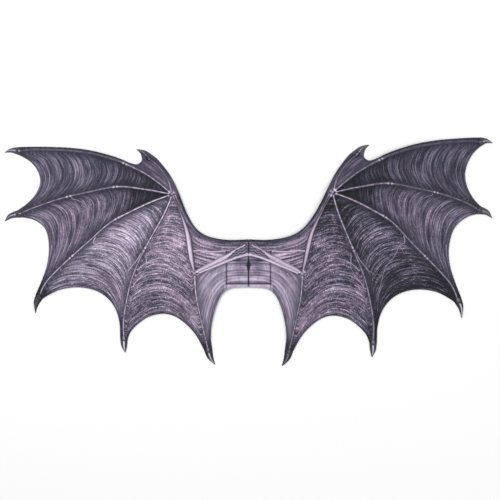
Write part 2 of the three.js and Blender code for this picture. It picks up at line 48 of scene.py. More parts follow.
# Sizes of the wings, in metres
HALF_SPAN = 0.56
WING_HEIGHT = 0.512
PANEL_THICKNESS = 0.003
SEAM_GAP = 0.0006
WRIST_RISE = 0.012
ELBOW_RISE = 0.009
EDGE_RISE = 0.007
SEAM_RISE = 0.0036
BAY_SAG = 0.5
ELBOW_SAG = 0.15
ARM_SAG = 0.3
FINGER_SLOPE = 1.1
NOTCH_SLOPE = 2
SEAM_SLOPE_END = 0.5
FINGER_INSET = 0.007
WRIST_RADIUS = 0.0125
ELBOW_RADIUS = 0.011
SPREAD = 0.045
SLANT = 0.010
SLANT_UP = (0.45, 0.85)
SLANT_OUT = (0, 0.3)
SLANT_END = (0.85, 1)
PATCH_SIZE = (0.101, 0.076)
PATCH_THICKNESS = 0.0015
PATCH_CORNER = 0.005
PATCH_SEAM = 0.0035  # from its rim to the stitches
STRAP_WIDTH = 0.02
STRAP_THICKNESS = 0.0015
STRAP_SPREAD = 0.05  # between the middles of a loop's two runs
STRAP_REACH = 0.25  # seam to the outer end of the loop
STRAP_END = 0.016  # seam to the sewn ends
STRAP_DROP = 0.014
STRAP_COLUMNS = 49
STRAP_RIBS = 9

# Columns: out from the seam, up from the lowest claw tip, as shares of HALF_SPAN and WING_HEIGHT.
WRIST = (0.329, 0.769)
ELBOW = (0.22, 0.411)
PATCH_MIDDLE = (0, 0.437)
LEADING_EDGE = [(0, 0.564), (0.074, 0.561), (0.139, 0.57), (0.189, 0.589), (0.227, 0.623),
                (0.261, 0.679), (0.284, 0.731), (0.3, 0.771)]
THUMB_EDGE = [(0.3, 0.771), (0.317, 0.812), (0.344, 0.865), (0.377, 0.913), (0.398, 0.939)]
THUMB_NOTCH = [(0.528, 0.928), (0.502, 0.915), (0.476, 0.908), (0.459, 0.918), (0.453, 0.93)]
FINGER_1_ROOT = [(0.329, 0.769), (0.367, 0.806), (0.408, 0.841), (0.449, 0.871), (0.49, 0.901),
                 (0.528, 0.928)]
TOP_EDGE = [(0.528, 0.928), (0.574, 0.948), (0.656, 0.974), (0.738, 0.989), (0.82, 0.996),
            (0.893, 0.999), (0.947, 0.999)]
FINGER_2 = [(0.329, 0.769), (0.429, 0.791), (0.55, 0.807), (0.675, 0.783), (0.779, 0.757),
            (0.88, 0.719)]
FINGER_3 = [(0.329, 0.769), (0.408, 0.737), (0.492, 0.693), (0.576, 0.64), (0.658, 0.555),
            (0.781, 0.426), (0.832, 0.361)]
FINGER_4 = [(0.329, 0.769), (0.338, 0.731), (0.362, 0.664), (0.404, 0.57), (0.44, 0.487),
            (0.474, 0.395), (0.496, 0.3), (0.511, 0.197)]
FOREARM = [(0.329, 0.769), (0.302, 0.717), (0.267, 0.632), (0.25, 0.578), (0.24, 0.522),
           (0.231, 0.469), (0.22, 0.411)]
FINGER_5 = [(0.22, 0.411), (0.218, 0.354), (0.212, 0.296), (0.2, 0.231), (0.185, 0.157)]
THUMB = [(0.329, 0.769), (0.345, 0.83), (0.382, 0.892)]
UPPER_ARM = [(0, 0.519), (0.045, 0.502), (0.09, 0.48), (0.135, 0.456), (0.18, 0.433),
             (0.22, 0.411)]
SCALLOP_1 = [(0.941, 0.96), (0.908, 0.933), (0.883, 0.895), (0.87, 0.852), (0.873, 0.812),
             (0.889, 0.771), (0.916, 0.733), (0.947, 0.704)]
SCALLOP_2 = [(0.93, 0.671), (0.898, 0.664), (0.867, 0.646), (0.84, 0.617), (0.824, 0.572),
             (0.818, 0.511), (0.825, 0.448), (0.842, 0.388), (0.87, 0.312)]
SCALLOP_3 = [(0.844, 0.291), (0.82, 0.309), (0.77, 0.335), (0.705, 0.346), (0.643, 0.337),
             (0.592, 0.31), (0.555, 0.267), (0.534, 0.215), (0.525, 0.152), (0.525, 0.112)]
SCALLOP_4 = [(0.495, 0.112), (0.482, 0.146), (0.451, 0.182), (0.408, 0.214), (0.352, 0.228),
             (0.303, 0.217), (0.256, 0.182), (0.215, 0.132), (0.182, 0.067)]
BODY_EDGE = [(0.149, 0.07), (0.155, 0.121), (0.152, 0.177), (0.141, 0.235), (0.122, 0.294),
             (0.098, 0.331), (0.07, 0.347), (0.037, 0.351), (0, 0.352)]
# Root and middle of the first edge, tip, middle and root of the second edge.
CLAWS = {
    "thumb_claw": [(0.398, 0.939), (0.439, 0.97), (0.476, 0.978), (0.459, 0.957), (0.453, 0.93)],
    "claw_1": [(0.947, 0.999), (0.975, 0.993), (1, 0.975), (0.973, 0.975), (0.941, 0.96)],
    "claw_2": [(0.947, 0.704), (0.982, 0.685), (0.998, 0.653), (0.969, 0.668), (0.93, 0.671)],
    "claw_3": [(0.87, 0.312), (0.879, 0.274), (0.873, 0.223), (0.863, 0.258), (0.844, 0.291)],
    "claw_4": [(0.525, 0.112), (0.52, 0.076), (0.505, 0.047), (0.499, 0.074), (0.495, 0.112)],
    "claw_5": [(0.182, 0.067), (0.168, 0.031), (0.137, 0), (0.145, 0.034), (0.149, 0.07)],
}
KNUCKLES = {"finger_1": [0.34], "finger_2": [0.36, 0.68], "finger_3": [0.33, 0.69],
            "finger_4": [0.38], "finger_5": [], "thumb": []}

PATCH_Y = sum(c[1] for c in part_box("back_patch")) / 2
HEM_TOP = -0.0735  # y of the stitches along the box's lower side
STITCH_TOP = -0.0005  # y of the upper end of the box's sides
SEAM_TOP = 0.0255  # y of the two ends of the seam's stitches
SEAM_LOW = -0.0785
SEAM_MARK = -0.031  # y of the middle of the stretch of the seam with the widest painted shade

# Fineness of the panel's mesh: steps for each row and column of the part's own mesh
STEPS_ALONG = 10
STEPS_ACROSS = 4
FAN_ROWS = 14 * STEPS_ALONG
ROOT_ROWS = 5 * STEPS_ALONG
FOREARM_ROWS = 7 * STEPS_ALONG
ARM_ROWS = 8 * STEPS_ALONG
EDGE_COLUMNS = 5
EDGE_STEPS = 6
CLAW_ROWS = 4 * STEPS_ACROSS
BONE_STEPS = 240

# Between the outline tables, whose y starts at the lowest claw, and the part, which is centred
SHIFT = PATCH_MIDDLE[1] * WING_HEIGHT - PATCH_Y
WING_OF = {1: "right", -1: "left"}
# Bays whose folds run along their free edge: spread across the folds in metres, and their pace.
EDGE_PACE = {"body": (0.08, 0.6), "arm": (0.16, 0.8)}


def smooth(low, high, value):
    t = np.clip((np.asarray(value, float) - low) / (high - low), 0, 1)
    return t * t * (3 - 2 * t)


def place(row):
    return np.array(row, float) * (HALF_SPAN, WING_HEIGHT)


def lengths(points):
    """How far along a line each of its points is."""
    return np.concatenate([[0], np.cumsum(np.linalg.norm(np.diff(points, axis=0), axis=1))])


def line(table, count, scaled=True):
    """Evenly spaced points on the smooth line through a table's points."""
    points = np.array([place(row) for row in table]) if scaled else np.asarray(table, float)
    last = len(points) - 1
    fine = []
    for i in range(last):
        p0, p1 = points[max(i - 1, 0)], points[i]
        p2, p3 = points[i + 1], points[min(i + 2, last)]
        t = np.linspace(0, 1, 60, endpoint=False)[:, None]
        v0, v1 = (p2 - p0) / 2, (p3 - p1) / 2
        fine.append((2 * p1 - 2 * p2 + v0 + v1) * t**3 + (-3 * p1 + 3 * p2 - 2 * v0 - v1) * t**2
                    + v0 * t + p1)
    fine = np.vstack([*fine, points[-1:]])
    run = lengths(fine)
    wanted = np.linspace(0, run[-1], count + 1)
    return np.column_stack([np.interp(wanted, run, fine[:, k]) for k in range(fine.shape[1])])


def joined(*parts):
    """Lines end to end, with the points that they share taken once."""
    return np.vstack([parts[0], *[part[1:] for part in parts[1:]]])


def straight(first, last, count):
    t = np.linspace(0, 1, count + 1)[:, None]
    return np.asarray(first, float) * (1 - t) + np.asarray(last, float) * t


def lifted(points, rise):
    share = np.linspace(0, 1, len(points))
    heights = np.broadcast_to(rise(share), share.shape)
    return np.column_stack([np.maximum(points[:, 0], SEAM_GAP / 2), points[:, 1], heights])


def flat(points):
    return lifted(points, lambda share: share * 0)


def root_of(claw):
    return (place(CLAWS[claw][0]) + place(CLAWS[claw][4])) / 2


def finger_line(table, claw, count):
    end = root_of(claw) / (HALF_SPAN, WING_HEIGHT)
    return line([*table, tuple(end)], count)


def bay(left, right, base, top, sag):
    """A grid of points between four lines, which sinks by a share of its height between its
    sides."""
    u = np.linspace(0, 1, len(base))[None, :, None]
    v = np.linspace(0, 1, len(left))[:, None, None]
    side = left[:, None] * (1 - u) + right[:, None] * u
    across = base[None] * (1 - v) + top[None] * v
    low = base[0] * (1 - u) + base[-1] * u
    high = top[0] * (1 - u) + top[-1] * u
    grid = side + across - (low * (1 - v) + high * v)
    grid[:, :, 2] *= 1 - sag * np.sin(math.pi * u[:, :, 0])
    return grid


def claw_bay(claw):
    root_a, middle_a, tip, middle_b, root_b = CLAWS[claw]
    first = line([root_a, middle_a, tip], CLAW_ROWS)
    second = line([root_b, middle_b, tip], CLAW_ROWS)
    u = np.linspace(0, 1, 2 * STEPS_ACROSS + 1)[None, :, None]
    grid = first[:, None] * (1 - u) + second[:, None] * u
    return np.dstack([grid, np.zeros(grid.shape[:2])])


def panel_bays():
    """The membrane of the right wing: a grid for each bay, rows from the arm towards the edge."""
    wrist = np.array([*place(WRIST), WRIST_RISE])
    knuckle = ROOT_ROWS / FAN_ROWS

    def finger_rise(share):
        return WRIST_RISE * (1 - share) ** FINGER_SLOPE

    one_root = lifted(line(FINGER_1_ROOT, ROOT_ROWS), lambda s: finger_rise(s * knuckle))
    top_edge = lifted(line(TOP_EDGE, FAN_ROWS - ROOT_ROWS),
                      lambda s: finger_rise(knuckle + (1 - knuckle) * s))
    one = joined(one_root, top_edge)
    two = lifted(finger_line(FINGER_2, "claw_2", FAN_ROWS), finger_rise)
    three = lifted(finger_line(FINGER_3, "claw_3", FAN_ROWS), finger_rise)
    four = lifted(finger_line(FINGER_4, "claw_4", FAN_ROWS), finger_rise)
    forearm = lifted(line(FOREARM, FOREARM_ROWS),
                     lambda s: WRIST_RISE + (ELBOW_RISE - WRIST_RISE) * s)
    five = lifted(finger_line(FINGER_5, "claw_5", FAN_ROWS - FOREARM_ROWS),
                  lambda s: ELBOW_RISE * (1 - s) ** FINGER_SLOPE)
    upper_arm = lifted(line(UPPER_ARM, ARM_ROWS),
                       lambda s: SEAM_RISE + (ELBOW_RISE - SEAM_RISE) * s)
    arm_and_five = joined(forearm, five)
    arm_and_forearm = joined(upper_arm, forearm[::-1])

    def scallop(before, table, after, lead=None):
        start = [] if lead is None else [straight(lead, root_of(before), STEPS_ACROSS)]
        return flat(joined(*start, straight(root_of(before), place(table[0]), STEPS_ACROSS),
                           line(table, 9 * STEPS_ACROSS),
                           straight(place(table[-1]), root_of(after), STEPS_ACROSS)))

    outer = [
        scallop("claw_1", SCALLOP_1, "claw_2", place(TOP_EDGE[-1])),
        scallop("claw_2", SCALLOP_2, "claw_3"),
        scallop("claw_3", SCALLOP_3, "claw_4"),
        scallop("claw_4", SCALLOP_4, "claw_5"),
    ]
    apex = [np.repeat(wrist[None], len(edge), axis=0) for edge in outer]

    leading = lifted(line(LEADING_EDGE, ARM_ROWS + FOREARM_ROWS),
                     lambda s: SEAM_RISE + (EDGE_RISE - SEAM_RISE) * s)
    edge_steps = EDGE_COLUMNS * EDGE_STEPS
    seam_steps = straight(upper_arm[0], leading[0], edge_steps)
    wrist_steps = straight(wrist, leading[-1], edge_steps)
    thumb_edge = lifted(line(THUMB_EDGE, ROOT_ROWS), lambda s: EDGE_RISE * (1 - s))
    notch = joined(line(THUMB_NOTCH, 3 * EDGE_STEPS),
                   straight(place(THUMB_NOTCH[-1]), root_of("thumb_claw"), EDGE_STEPS),
                   straight(root_of("thumb_claw"), place(CLAWS["thumb_claw"][0]), EDGE_STEPS))
    notch = lifted(notch, lambda s: finger_rise(knuckle) * (1 - s) ** NOTCH_SLOPE)

    body = joined(straight(root_of("claw_5"), place(BODY_EDGE[0]), STEPS_ALONG),
                  line(BODY_EDGE, 7 * STEPS_ALONG))
    body = lifted(body, lambda s: SEAM_RISE * smooth(0, SEAM_SLOPE_END, s))[::-1]
    seam_low = straight(upper_arm[0], body[0], FAN_ROWS - FOREARM_ROWS)

    bays = {
        "fan_1": bay(one, two, apex[0], outer[0], BAY_SAG),
        "fan_2": bay(two, three, apex[1], outer[1], BAY_SAG),
        "fan_3": bay(three, four, apex[2], outer[2], BAY_SAG),
        "fan_4": bay(four, arm_and_five, apex[3], outer[3], ELBOW_SAG),
        "arm": bay(arm_and_forearm, leading, seam_steps, wrist_steps, ARM_SAG),
        "thumb": bay(one_root, thumb_edge, wrist_steps, notch, 0),
        "body": bay(seam_low, five, upper_arm, body, 0),
    }
    bays.update({claw: claw_bay(claw) for claw in CLAWS})
    return bays


def askew(points):
    """Where points of a wing lie: the right wing is spread a little wider than the left one."""
    out, up = points[..., 0] / HALF_SPAN, points[..., 1] / WING_HEIGHT
    slant = SLANT * smooth(*SLANT_UP, up) * smooth(*SLANT_OUT, np.abs(out))
    moved = points.copy()
    moved[..., 0] += slant * (1 - smooth(*SLANT_END, np.abs(out)))
    moved[..., 1] += SPREAD * WING_HEIGHT * out * (up - 0.5) - SHIFT
    return moved


def on_side(points, side):
    """Points of the right wing, brought to the wing of a side: 1 is right and -1 is left."""
    return askew(points * np.array([side, 1, 1])[: points.shape[-1]])


def value_noise(x, y, seed):
    """Smooth noise from 0 to 1 over the plane, one bump for each unit."""
    rng = np.random.default_rng(seed)
    table = rng.random((64, 64))
    xi, yi = np.floor(x).astype(int), np.floor(y).astype(int)
    fx, fy = x - xi, y - yi
    fx, fy = fx * fx * (3 - 2 * fx), fy * fy * (3 - 2 * fy)

    def corner(i, j):
        return table[(xi + i) % 64, (yi + j) % 64]

    low = corner(0, 0) * (1 - fx) + corner(1, 0) * fx
    high = corner(0, 1) * (1 - fx) + corner(1, 1) * fx
    return low * (1 - fy) + high * fy


# How light each bay is, as shares of white.
# Columns: near the arm, in the middle, near the edge on the left wing; the same on the right wing.
TONES = {
    "fan_1": (0.20, 0.32, 0.39, 0.15, 0.27, 0.33),
    "fan_2": (0.07, 0.41, 0.45, 0.04, 0.38, 0.39),
    "fan_3": (0.44, 0.51, 0.50, 0.16, 0.32, 0.15),
    "fan_4": (0.50, 0.51, 0.44, 0.19, 0.37, 0.46),
    "arm": (0.52, 0.50, 0.49, 0.49, 0.47, 0.46),
    "thumb": (0.40, 0.38, 0.36, 0.36, 0.36, 0.34),
    "body": (0.55, 0.61, 0.54, 0.46, 0.59, 0.50),
}
CLAW_TONES = {"thumb_claw": 0.38, "claw_1": 0.40, "claw_2": 0.40, "claw_3": 0.18, "claw_4": 0.32,
              "claw_5": 0.2}
# How strongly each bay shows the streaks, the hatch across them, the dark border and the shade
# beside the bones.
LOOKS = {
    "fan_1": (0.28, 0.10, 0.10, 0.40),
    "fan_2": (0.32, 0.16, 0.20, 0.45),
    "fan_3": (0.38, 0.26, 0.40, 0.34),
    "fan_4": (0.36, 0.32, 0.45, 0.16),
    "arm": (0.41, 0.18, 0.60, 0.15),
    "thumb": (0.24, 0.08, 0.25, 0.20),
    "body": (0.24, 0.12, 0.10, 0.30),
}
CLAW_LOOK = (0.06, 0.05, 0.12, 0.2)
# Soft lighter and darker places. Columns: the wings it is on (1 right, -1 left, 0 both), out and
# up in shares of the wing, reach in metres, and how much lighter.
CLOUDS = [
    (-1, 0.486, 0.587, 0.040, 0.14),
    (-1, 0.400, 0.660, 0.030, 0.06),
    (1, 0.486, 0.587, 0.040, 0.04),
    (0, 0.453, 0.508, 0.018, -0.13),
    (0, 0.428, 0.560, 0.014, -0.10),
    (0, 0.535, 0.630, 0.015, -0.08),
    (0, 0.560, 0.500, 0.030, 0.07),
    (0, 0.342, 0.486, 0.028, 0.12),
    (0, 0.363, 0.560, 0.014, -0.08),
    (0, 0.404, 0.400, 0.020, -0.10),
    (0, 0.281, 0.552, 0.018, 0.08),
    (0, 0.329, 0.769, 0.010, 0.20),
    (0, 0.245, 0.600, 0.014, 0.06),
    (0, 0.178, 0.538, 0.018, 0.10),
    (0, 0.096, 0.525, 0.020, -0.03),
    (0, 0.178, 0.482, 0.012, -0.04),
    (0, 0.210, 0.200, 0.020, 0.14),
    (0, 0.190, 0.430, 0.012, -0.08),
    (0, 0.150, 0.350, 0.026, 0.10),
    (0, 0.043, 0.475, 0.008, -0.16),
    (0, 0.025, 0.450, 0.018, -0.13),
    (-1, 0.850, 0.300, 0.028, -0.34),
    (1, 0.850, 0.300, 0.028, -0.24),
    (1, 0.500, 0.150, 0.030, -0.25),
    (0, 0.520, 0.110, 0.016, -0.12),
    (0, 0.170, 0.085, 0.014, -0.25),
    (-1, 0.130, 0.130, 0.020, -0.10),
    (1, 0.560, 0.330, 0.040, 0.06),
    (1, 0.660, 0.380, 0.030, 0.05),
    (0, 0.110, 0.450, 0.030, 0.05),
    (0, 0.043, 0.428, 0.010, -0.04),
    (1, 0.043, 0.428, 0.012, -0.05),
    (0, 0.060, 0.388, 0.010, 0.11),
    (0, 0.020, 0.388, 0.010, 0.11),
]
HEM_TONE = 0.84
UNDERSIDE_TONE = 0.3
STRAIGHTER = 1.2
HUES = {"fan_1": 0.42, "fan_2": 0.5, "fan_3": 0.4, "fan_4": 0.6, "body": 0.4, "arm": 0.6,
        "thumb": 0.6}
FOLD_LENGTH = 0.016  # between the folds of the membrane
FOLD_HEIGHT = 0.0005
RIM_WIDTH = 0.004  # in which the panel thins towards its cut edge
RIM_THICKNESS = 0.0019
RIM_BULGE = 0.0004
AT_SEAM = 0.0015  # nearer to the middle than this, a cut edge is the seam


def bay_tone(name, side, grid, v):
    """How light the points of a bay are, clouds included."""
    if name in CLAW_TONES:
        return np.full(v.shape, CLAW_TONES[name])
    near, middle, edge = TONES[name][:3] if side < 0 else TONES[name][3:]
    tone = np.where(v < 0.5, near + (middle - near) * v * 2, middle + (edge - middle) * (2 * v - 1))
    for wings, out, up, reach, amount in CLOUDS:
        if wings in (0, side):
            away = np.linalg.norm(grid[:, :, :2] - place((out, up)), axis=2)
            tone = tone + amount * np.exp(-((away / reach) ** 2))
    return tone


def wing_surface(side):
    """The membrane of one wing: points, faces, the place in its bay of each corner of a face, and
    what the points carry for the looks."""
    points, quads, corners, carried = [], [], [], []
    count = 0
    for number, (name, grid) in enumerate(panel_bays().items()):
        rows, columns = grid.shape[:2]
        u = np.broadcast_to(np.linspace(0, 1, columns)[None], (rows, columns))
        v = np.broadcast_to(np.linspace(0, 1, rows)[:, None], (rows, columns))
        across = np.linalg.norm(np.diff(grid, axis=1), axis=2)
        run_across = np.concatenate([np.zeros((rows, 1)), np.cumsum(across, axis=1)], axis=1)
        run_across -= run_across[:, -1:] / 2
        along = np.linalg.norm(np.diff(grid, axis=0), axis=2).mean(axis=1)
        run_along = np.concatenate([[0], np.cumsum(along)])[:, None] * np.ones((1, columns))
        if name.startswith("fan"):  # near the wrist the streaks run straighter than the bay's lines
            chord = (grid[:, :1] + grid[:, -1:]) / 2
            sag = np.linalg.norm(grid[:, columns // 2: columns // 2 + 1] - chord, axis=2)
            run_along = run_along - STRAIGHTER * (1 - v) * sag * 4 * u * (1 - u)
        if name == "thumb":  # its folds run along the arm, and not across it
            run_across, run_along = run_along, run_across
        if name in EDGE_PACE:
            spread, pace = EDGE_PACE[name]
            free = grid[-1] if name == "body" else grid[:, -1]
            free = line(free[:, :2], len(free) * 8, scaled=False)
            run_across = spread * (u if name == "body" else v)
            run_along = pace * distance_to(grid.reshape(-1, 3), free).reshape(rows, columns)
        index = count + np.arange(rows * columns).reshape(rows, columns)
        quads.append(np.stack([index[:-1, :-1], index[:-1, 1:], index[1:, 1:], index[1:, :-1]],
                              axis=-1).reshape(-1, 4))
        place_in_bay = np.stack([run_across + number * 0.7, run_along + number * 0.31], axis=-1)
        corners.append(place_in_bay.reshape(-1, 2))
        points.append(grid.reshape(-1, 3))
        fold = value_noise(run_across * 14 + number * 9, run_along / FOLD_LENGTH, 5 + number)
        fold = 0.5 + (fold - 0.5) * np.sin(math.pi * u) ** 0.5
        looks = (*LOOKS.get(name, CLAW_LOOK), HUES.get(name, 0.5))
        looks = [np.full(u.shape, value) for value in looks]
        values = [bay_tone(name, side, grid, v), fold, *looks]
        carried.append(np.stack(values, axis=-1).reshape(-1, len(values)))
        count += rows * columns
    points, corners, quads = np.vstack(points), np.vstack(corners), np.vstack(quads)
    carried = np.vstack(carried)
    keys = np.round(points[:, :2] * 1e5).astype(np.int64)
    _, first, same = np.unique(keys, axis=0, return_index=True, return_inverse=True)
    same = same.ravel()
    total = np.bincount(same)
    mean = {key: np.bincount(same, carried[:, k]) / total
            for k, key in enumerate(("tone", "fold", "streak", "hatch", "border", "depth", "hue"))}
    return points[first], same[quads], corners[quads], mean


def distance_to(points, others):
    """How far each point is from the nearest of the others, seen from above."""
    tree = KDTree(len(others))
    for i, p in enumerate(others):
        tree.insert((p[0], p[1], 0), i)
    tree.balance()
    return np.array([tree.find((x, y, 0))[2] for x, y in points[:, :2]])


def clean_faces(quads, corners):
    """Faces without repeated points, as tuples, with the corners' places in the same order."""
    faces, places = [], []
    for quad, place_of in zip(quads.tolist(), corners.tolist()):
        kept = [k for k in range(4) if quad[k] != quad[k - 1]]
        if len(kept) > 2:
            faces.append([quad[k] for k in kept])
            places.append([place_of[k] for k in kept])
    return faces, places


def in_scene(name, data):
    made = bpy.data.objects.new(name, data)
    SCENE.collection.objects.link(made)
    return made


def ring_faces(first, second, count):
    """The faces between two closed rings of points, each given by the number of its first one."""
    return [[first + j, second + j, second + (j + 1) % count, first + (j + 1) % count]
            for j in range(count)]


def mesh_object(name, points, faces, values=None, places=None):
    """A mesh object with float attributes on its points and a UV map."""
    mesh = bpy.data.meshes.new(name)
    mesh.from_pydata([tuple(p) for p in points], [], faces)
    for key, data in (values or {}).items():
        attribute = mesh.attributes.new(key, "FLOAT", "POINT")
        attribute.data.foreach_set("value", np.asarray(data, np.float32))
    if places is not None:
        layer = mesh.uv_layers.new(name="UVMap")
        corners = [corner for face in places for corner in face]
        layer.data.foreach_set("uv", np.array(corners, np.float32).ravel())
    mesh.shade_smooth()
    return in_scene(name, mesh)


def piece(made, material, slot, *nodes):
    """Gives a made object its material and its place in the frame."""
    made.data.materials.clear()
    made.data.materials.append(material)
    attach(made, "root")
    if nodes:
        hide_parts(*nodes)
    return made


def bone_lines():
    """The middle line of each bone of the right wing, from above."""
    inset = np.array([0, -FINGER_INSET])
    lines = {"finger_1": [*map(place, FINGER_1_ROOT[:-2]), *(place(TOP_EDGE[:-1]) + inset),
                          root_of("claw_1")]}
    for number, table in enumerate((FINGER_2, FINGER_3, FINGER_4, FINGER_5), 2):
        lines[f"finger_{number}"] = [*map(place, table), root_of(f"claw_{number}")]
    lines["thumb"] = [*map(place, THUMB), root_of("thumb_claw")]
    lines["forearm"] = place(FOREARM)
    lines["upper_arm"] = place(UPPER_ARM)
    return {name: line(points, BONE_STEPS, scaled=False) for name, points in lines.items()}


# Materials. The attribute "tone" says how light a place is, and the ramp gives its colour.
RAMP = [  # tone, then red, green and blue as on the screen
    (0.08, (0.05, 0.05, 0.08)),
    (0.26, (0.20, 0.19, 0.25)),
    (0.45, (0.39, 0.36, 0.42)),
    (0.66, (0.63, 0.57, 0.65)),
    (0.85, (0.80, 0.74, 0.80)),
    (1.00, (0.90, 0.88, 0.91)),
]
SLATE_TINT = (0.88, 0.98, 1.0)
MAUVE_TINT = (1.0, 0.90, 0.965)


def linear(colour):
    """A screen colour as the shader's linear one."""
    return tuple(c / 12.92 if c < 0.04045 else ((c + 0.055) / 1.055) ** 2.4 for c in colour) + (1,)


class Nodes:
    """Builds a node tree: add makes a node, sets its inputs and links what are sockets."""

    def __init__(self, tree):
        self.tree = tree
        self.tree.nodes.clear()

    def add(self, kind, inputs=None, **settings):
        node = self.tree.nodes.new(kind)
        for key, value in settings.items():
            setattr(node, key, value)
        for key, value in (inputs or {}).items():
            if isinstance(value, bpy.types.NodeSocket):
                self.tree.links.new(value, node.inputs[key])
            else:
                node.inputs[key].default_value = value
        return node

    def math(self, operation, a, b=0.0, c=0.0):
        return self.add("ShaderNodeMath", {0: a, 1: b, 2: c}, operation=operation).outputs[0]

    def attribute(self, name):
        return self.add("ShaderNodeAttribute", attribute_name=name).outputs["Fac"]

    def put(self, tree, **inputs):
        """Puts a node group in and returns its outputs."""
        return self.add("ShaderNodeGroup", inputs, node_tree=tree).outputs

    def noise(self, vector, scale, detail=2.0, distortion=0.0):
        made = self.add("ShaderNodeTexNoise", {"Vector": vector, "Scale": scale, "Detail": detail,
                                              "Distortion": distortion})
        return made.outputs["Fac"]

    def steps(self, value, *stops):
        """A value mapped by straight lines between stops of (value, result)."""
        ramp = self.add("ShaderNodeValToRGB", {"Fac": value})
        elements = ramp.color_ramp.elements
        while len(elements) < len(stops):
            elements.new(0.5)
        for element, (at, result) in zip(elements, stops):
            element.position = at
            grey = isinstance(result, (int, float))
            element.color = (result, result, result, 1) if grey else result
        return ramp.outputs["Color"]


def group(name, inputs, outputs):
    """A new shader node group with named sockets: its nodes, its inputs and its output node."""
    tree = bpy.data.node_groups.new(name, "ShaderNodeTree")
    kinds = {"value": "NodeSocketFloat", "colour": "NodeSocketColor", "vector": "NodeSocketVector"}
    for key, (kind, value) in inputs.items():
        socket = tree.interface.new_socket(name=key, in_out="INPUT", socket_type=kinds[kind])
        if value is not None:
            socket.default_value = value
    for key, kind in outputs.items():
        tree.interface.new_socket(name=key, in_out="OUTPUT", socket_type=kinds[kind])
    nodes = Nodes(tree)
    entry = nodes.add("NodeGroupInput")
    end = nodes.add("NodeGroupOutput")
    return nodes, entry.outputs, end


def palette_group():
    """The colour of a tone, from dark slate to pale lavender; hue 0 is bluer and 1 is pinker."""
    nodes, given, end = group("Palette", {"Tone": ("value", 0.5), "Hue": ("value", 0.5)},
                              {"Colour": "colour"})
    colour = nodes.steps(given["Tone"], *[(at, linear(rgb)) for at, rgb in RAMP])
    tint = nodes.steps(given["Hue"], (0.3, (*SLATE_TINT, 1)), (0.7, (*MAUVE_TINT, 1)))
    tinted = nodes.add("ShaderNodeMix", {"Factor": 1.0, 6: colour, 7: tint}, data_type="RGBA",
                       blend_type="MULTIPLY")
    nodes.tree.links.new(tinted.outputs[2], end.inputs["Colour"])
    return nodes.tree


def streak_group():
    """Pale streaks across a bay, in a fine hatch that runs along it, from 0 to 1."""
    nodes, given, end = group(
        "Membrane streaks",
        {"Place": ("vector", None), "Streaks": ("value", 310.0), "Hatch": ("value", 400.0)},
        {"Streak": "value", "Hatch": "value"},
    )
    parts = nodes.add("ShaderNodeSeparateXYZ", {0: given["Place"]}).outputs
    across, along = parts["X"], parts["Y"]

    def stretched(u_scale, v_scale):
        u = nodes.math("MULTIPLY", across, u_scale)
        v = nodes.math("MULTIPLY", along, v_scale)
        return nodes.add("ShaderNodeCombineXYZ", {"X": u, "Y": v}).outputs[0]

    broad = nodes.noise(stretched(9.0, 110.0), 1.0, 2.0, 0.4)
    thin = nodes.noise(stretched(17.0, given["Streaks"]), 1.0, 2.5, 0.7)
    mixed = nodes.math("MULTIPLY_ADD", broad, 0.35, nodes.math("MULTIPLY", thin, 0.65))
    streak = nodes.steps(mixed, (0.42, 0), (0.50, 0.35), (0.60, 1))
    fine = nodes.noise(stretched(75.0, given["Hatch"]), 1.0, 1.0, 0.3)
    dashes = nodes.noise(stretched(480.0, 120.0), 1.0, 1.0, 0.3)
    both = nodes.math("MULTIPLY", nodes.steps(fine, (0.42, 0.05), (0.58, 1)),
                      nodes.steps(dashes, (0.4, 0.15), (0.58, 1)))
    nodes.tree.links.new(streak, end.inputs["Streak"])
    nodes.tree.links.new(both, end.inputs["Hatch"])
    return nodes.tree


def weave_group():
    """The height of a fine ribbed or woven cloth."""
    nodes, given, end = group("Weave", {"Place": ("vector", None), "Threads": ("value", 900.0)},
                              {"Height": "value"})
    parts = nodes.add("ShaderNodeSeparateXYZ", {0: given["Place"]}).outputs
    full_turns = nodes.math("MULTIPLY", given["Threads"], 6.2832)
    turns = [nodes.math("SINE", nodes.math("MULTIPLY", parts[axis], full_turns))
             for axis in ("X", "Y")]
    height = nodes.math("MULTIPLY_ADD", nodes.math("MULTIPLY", *turns), 0.5, 0.5)
    nodes.tree.links.new(height, end.inputs["Height"])
    return nodes.tree


PALETTE = palette_group()
STREAKS = streak_group()
WEAVE = weave_group()


def material(name):
    made = bpy.data.materials.new(name)
    made.use_nodes = True
    return made, Nodes(made.node_tree)


def finish_material(nodes, colour, height, roughness, distance, **inputs):
    """The surface shader with a bump, joined to the output."""
    bump = nodes.add("ShaderNodeBump", {"Height": height, "Strength": 1.0, "Distance": distance})
    shader = nodes.add("ShaderNodeBsdfPrincipled", {"Base Color": colour, "Roughness": roughness,
                                                   "Normal": bump.outputs[0], **inputs})
    nodes.add("ShaderNodeOutputMaterial", {"Surface": shader.outputs[0]})


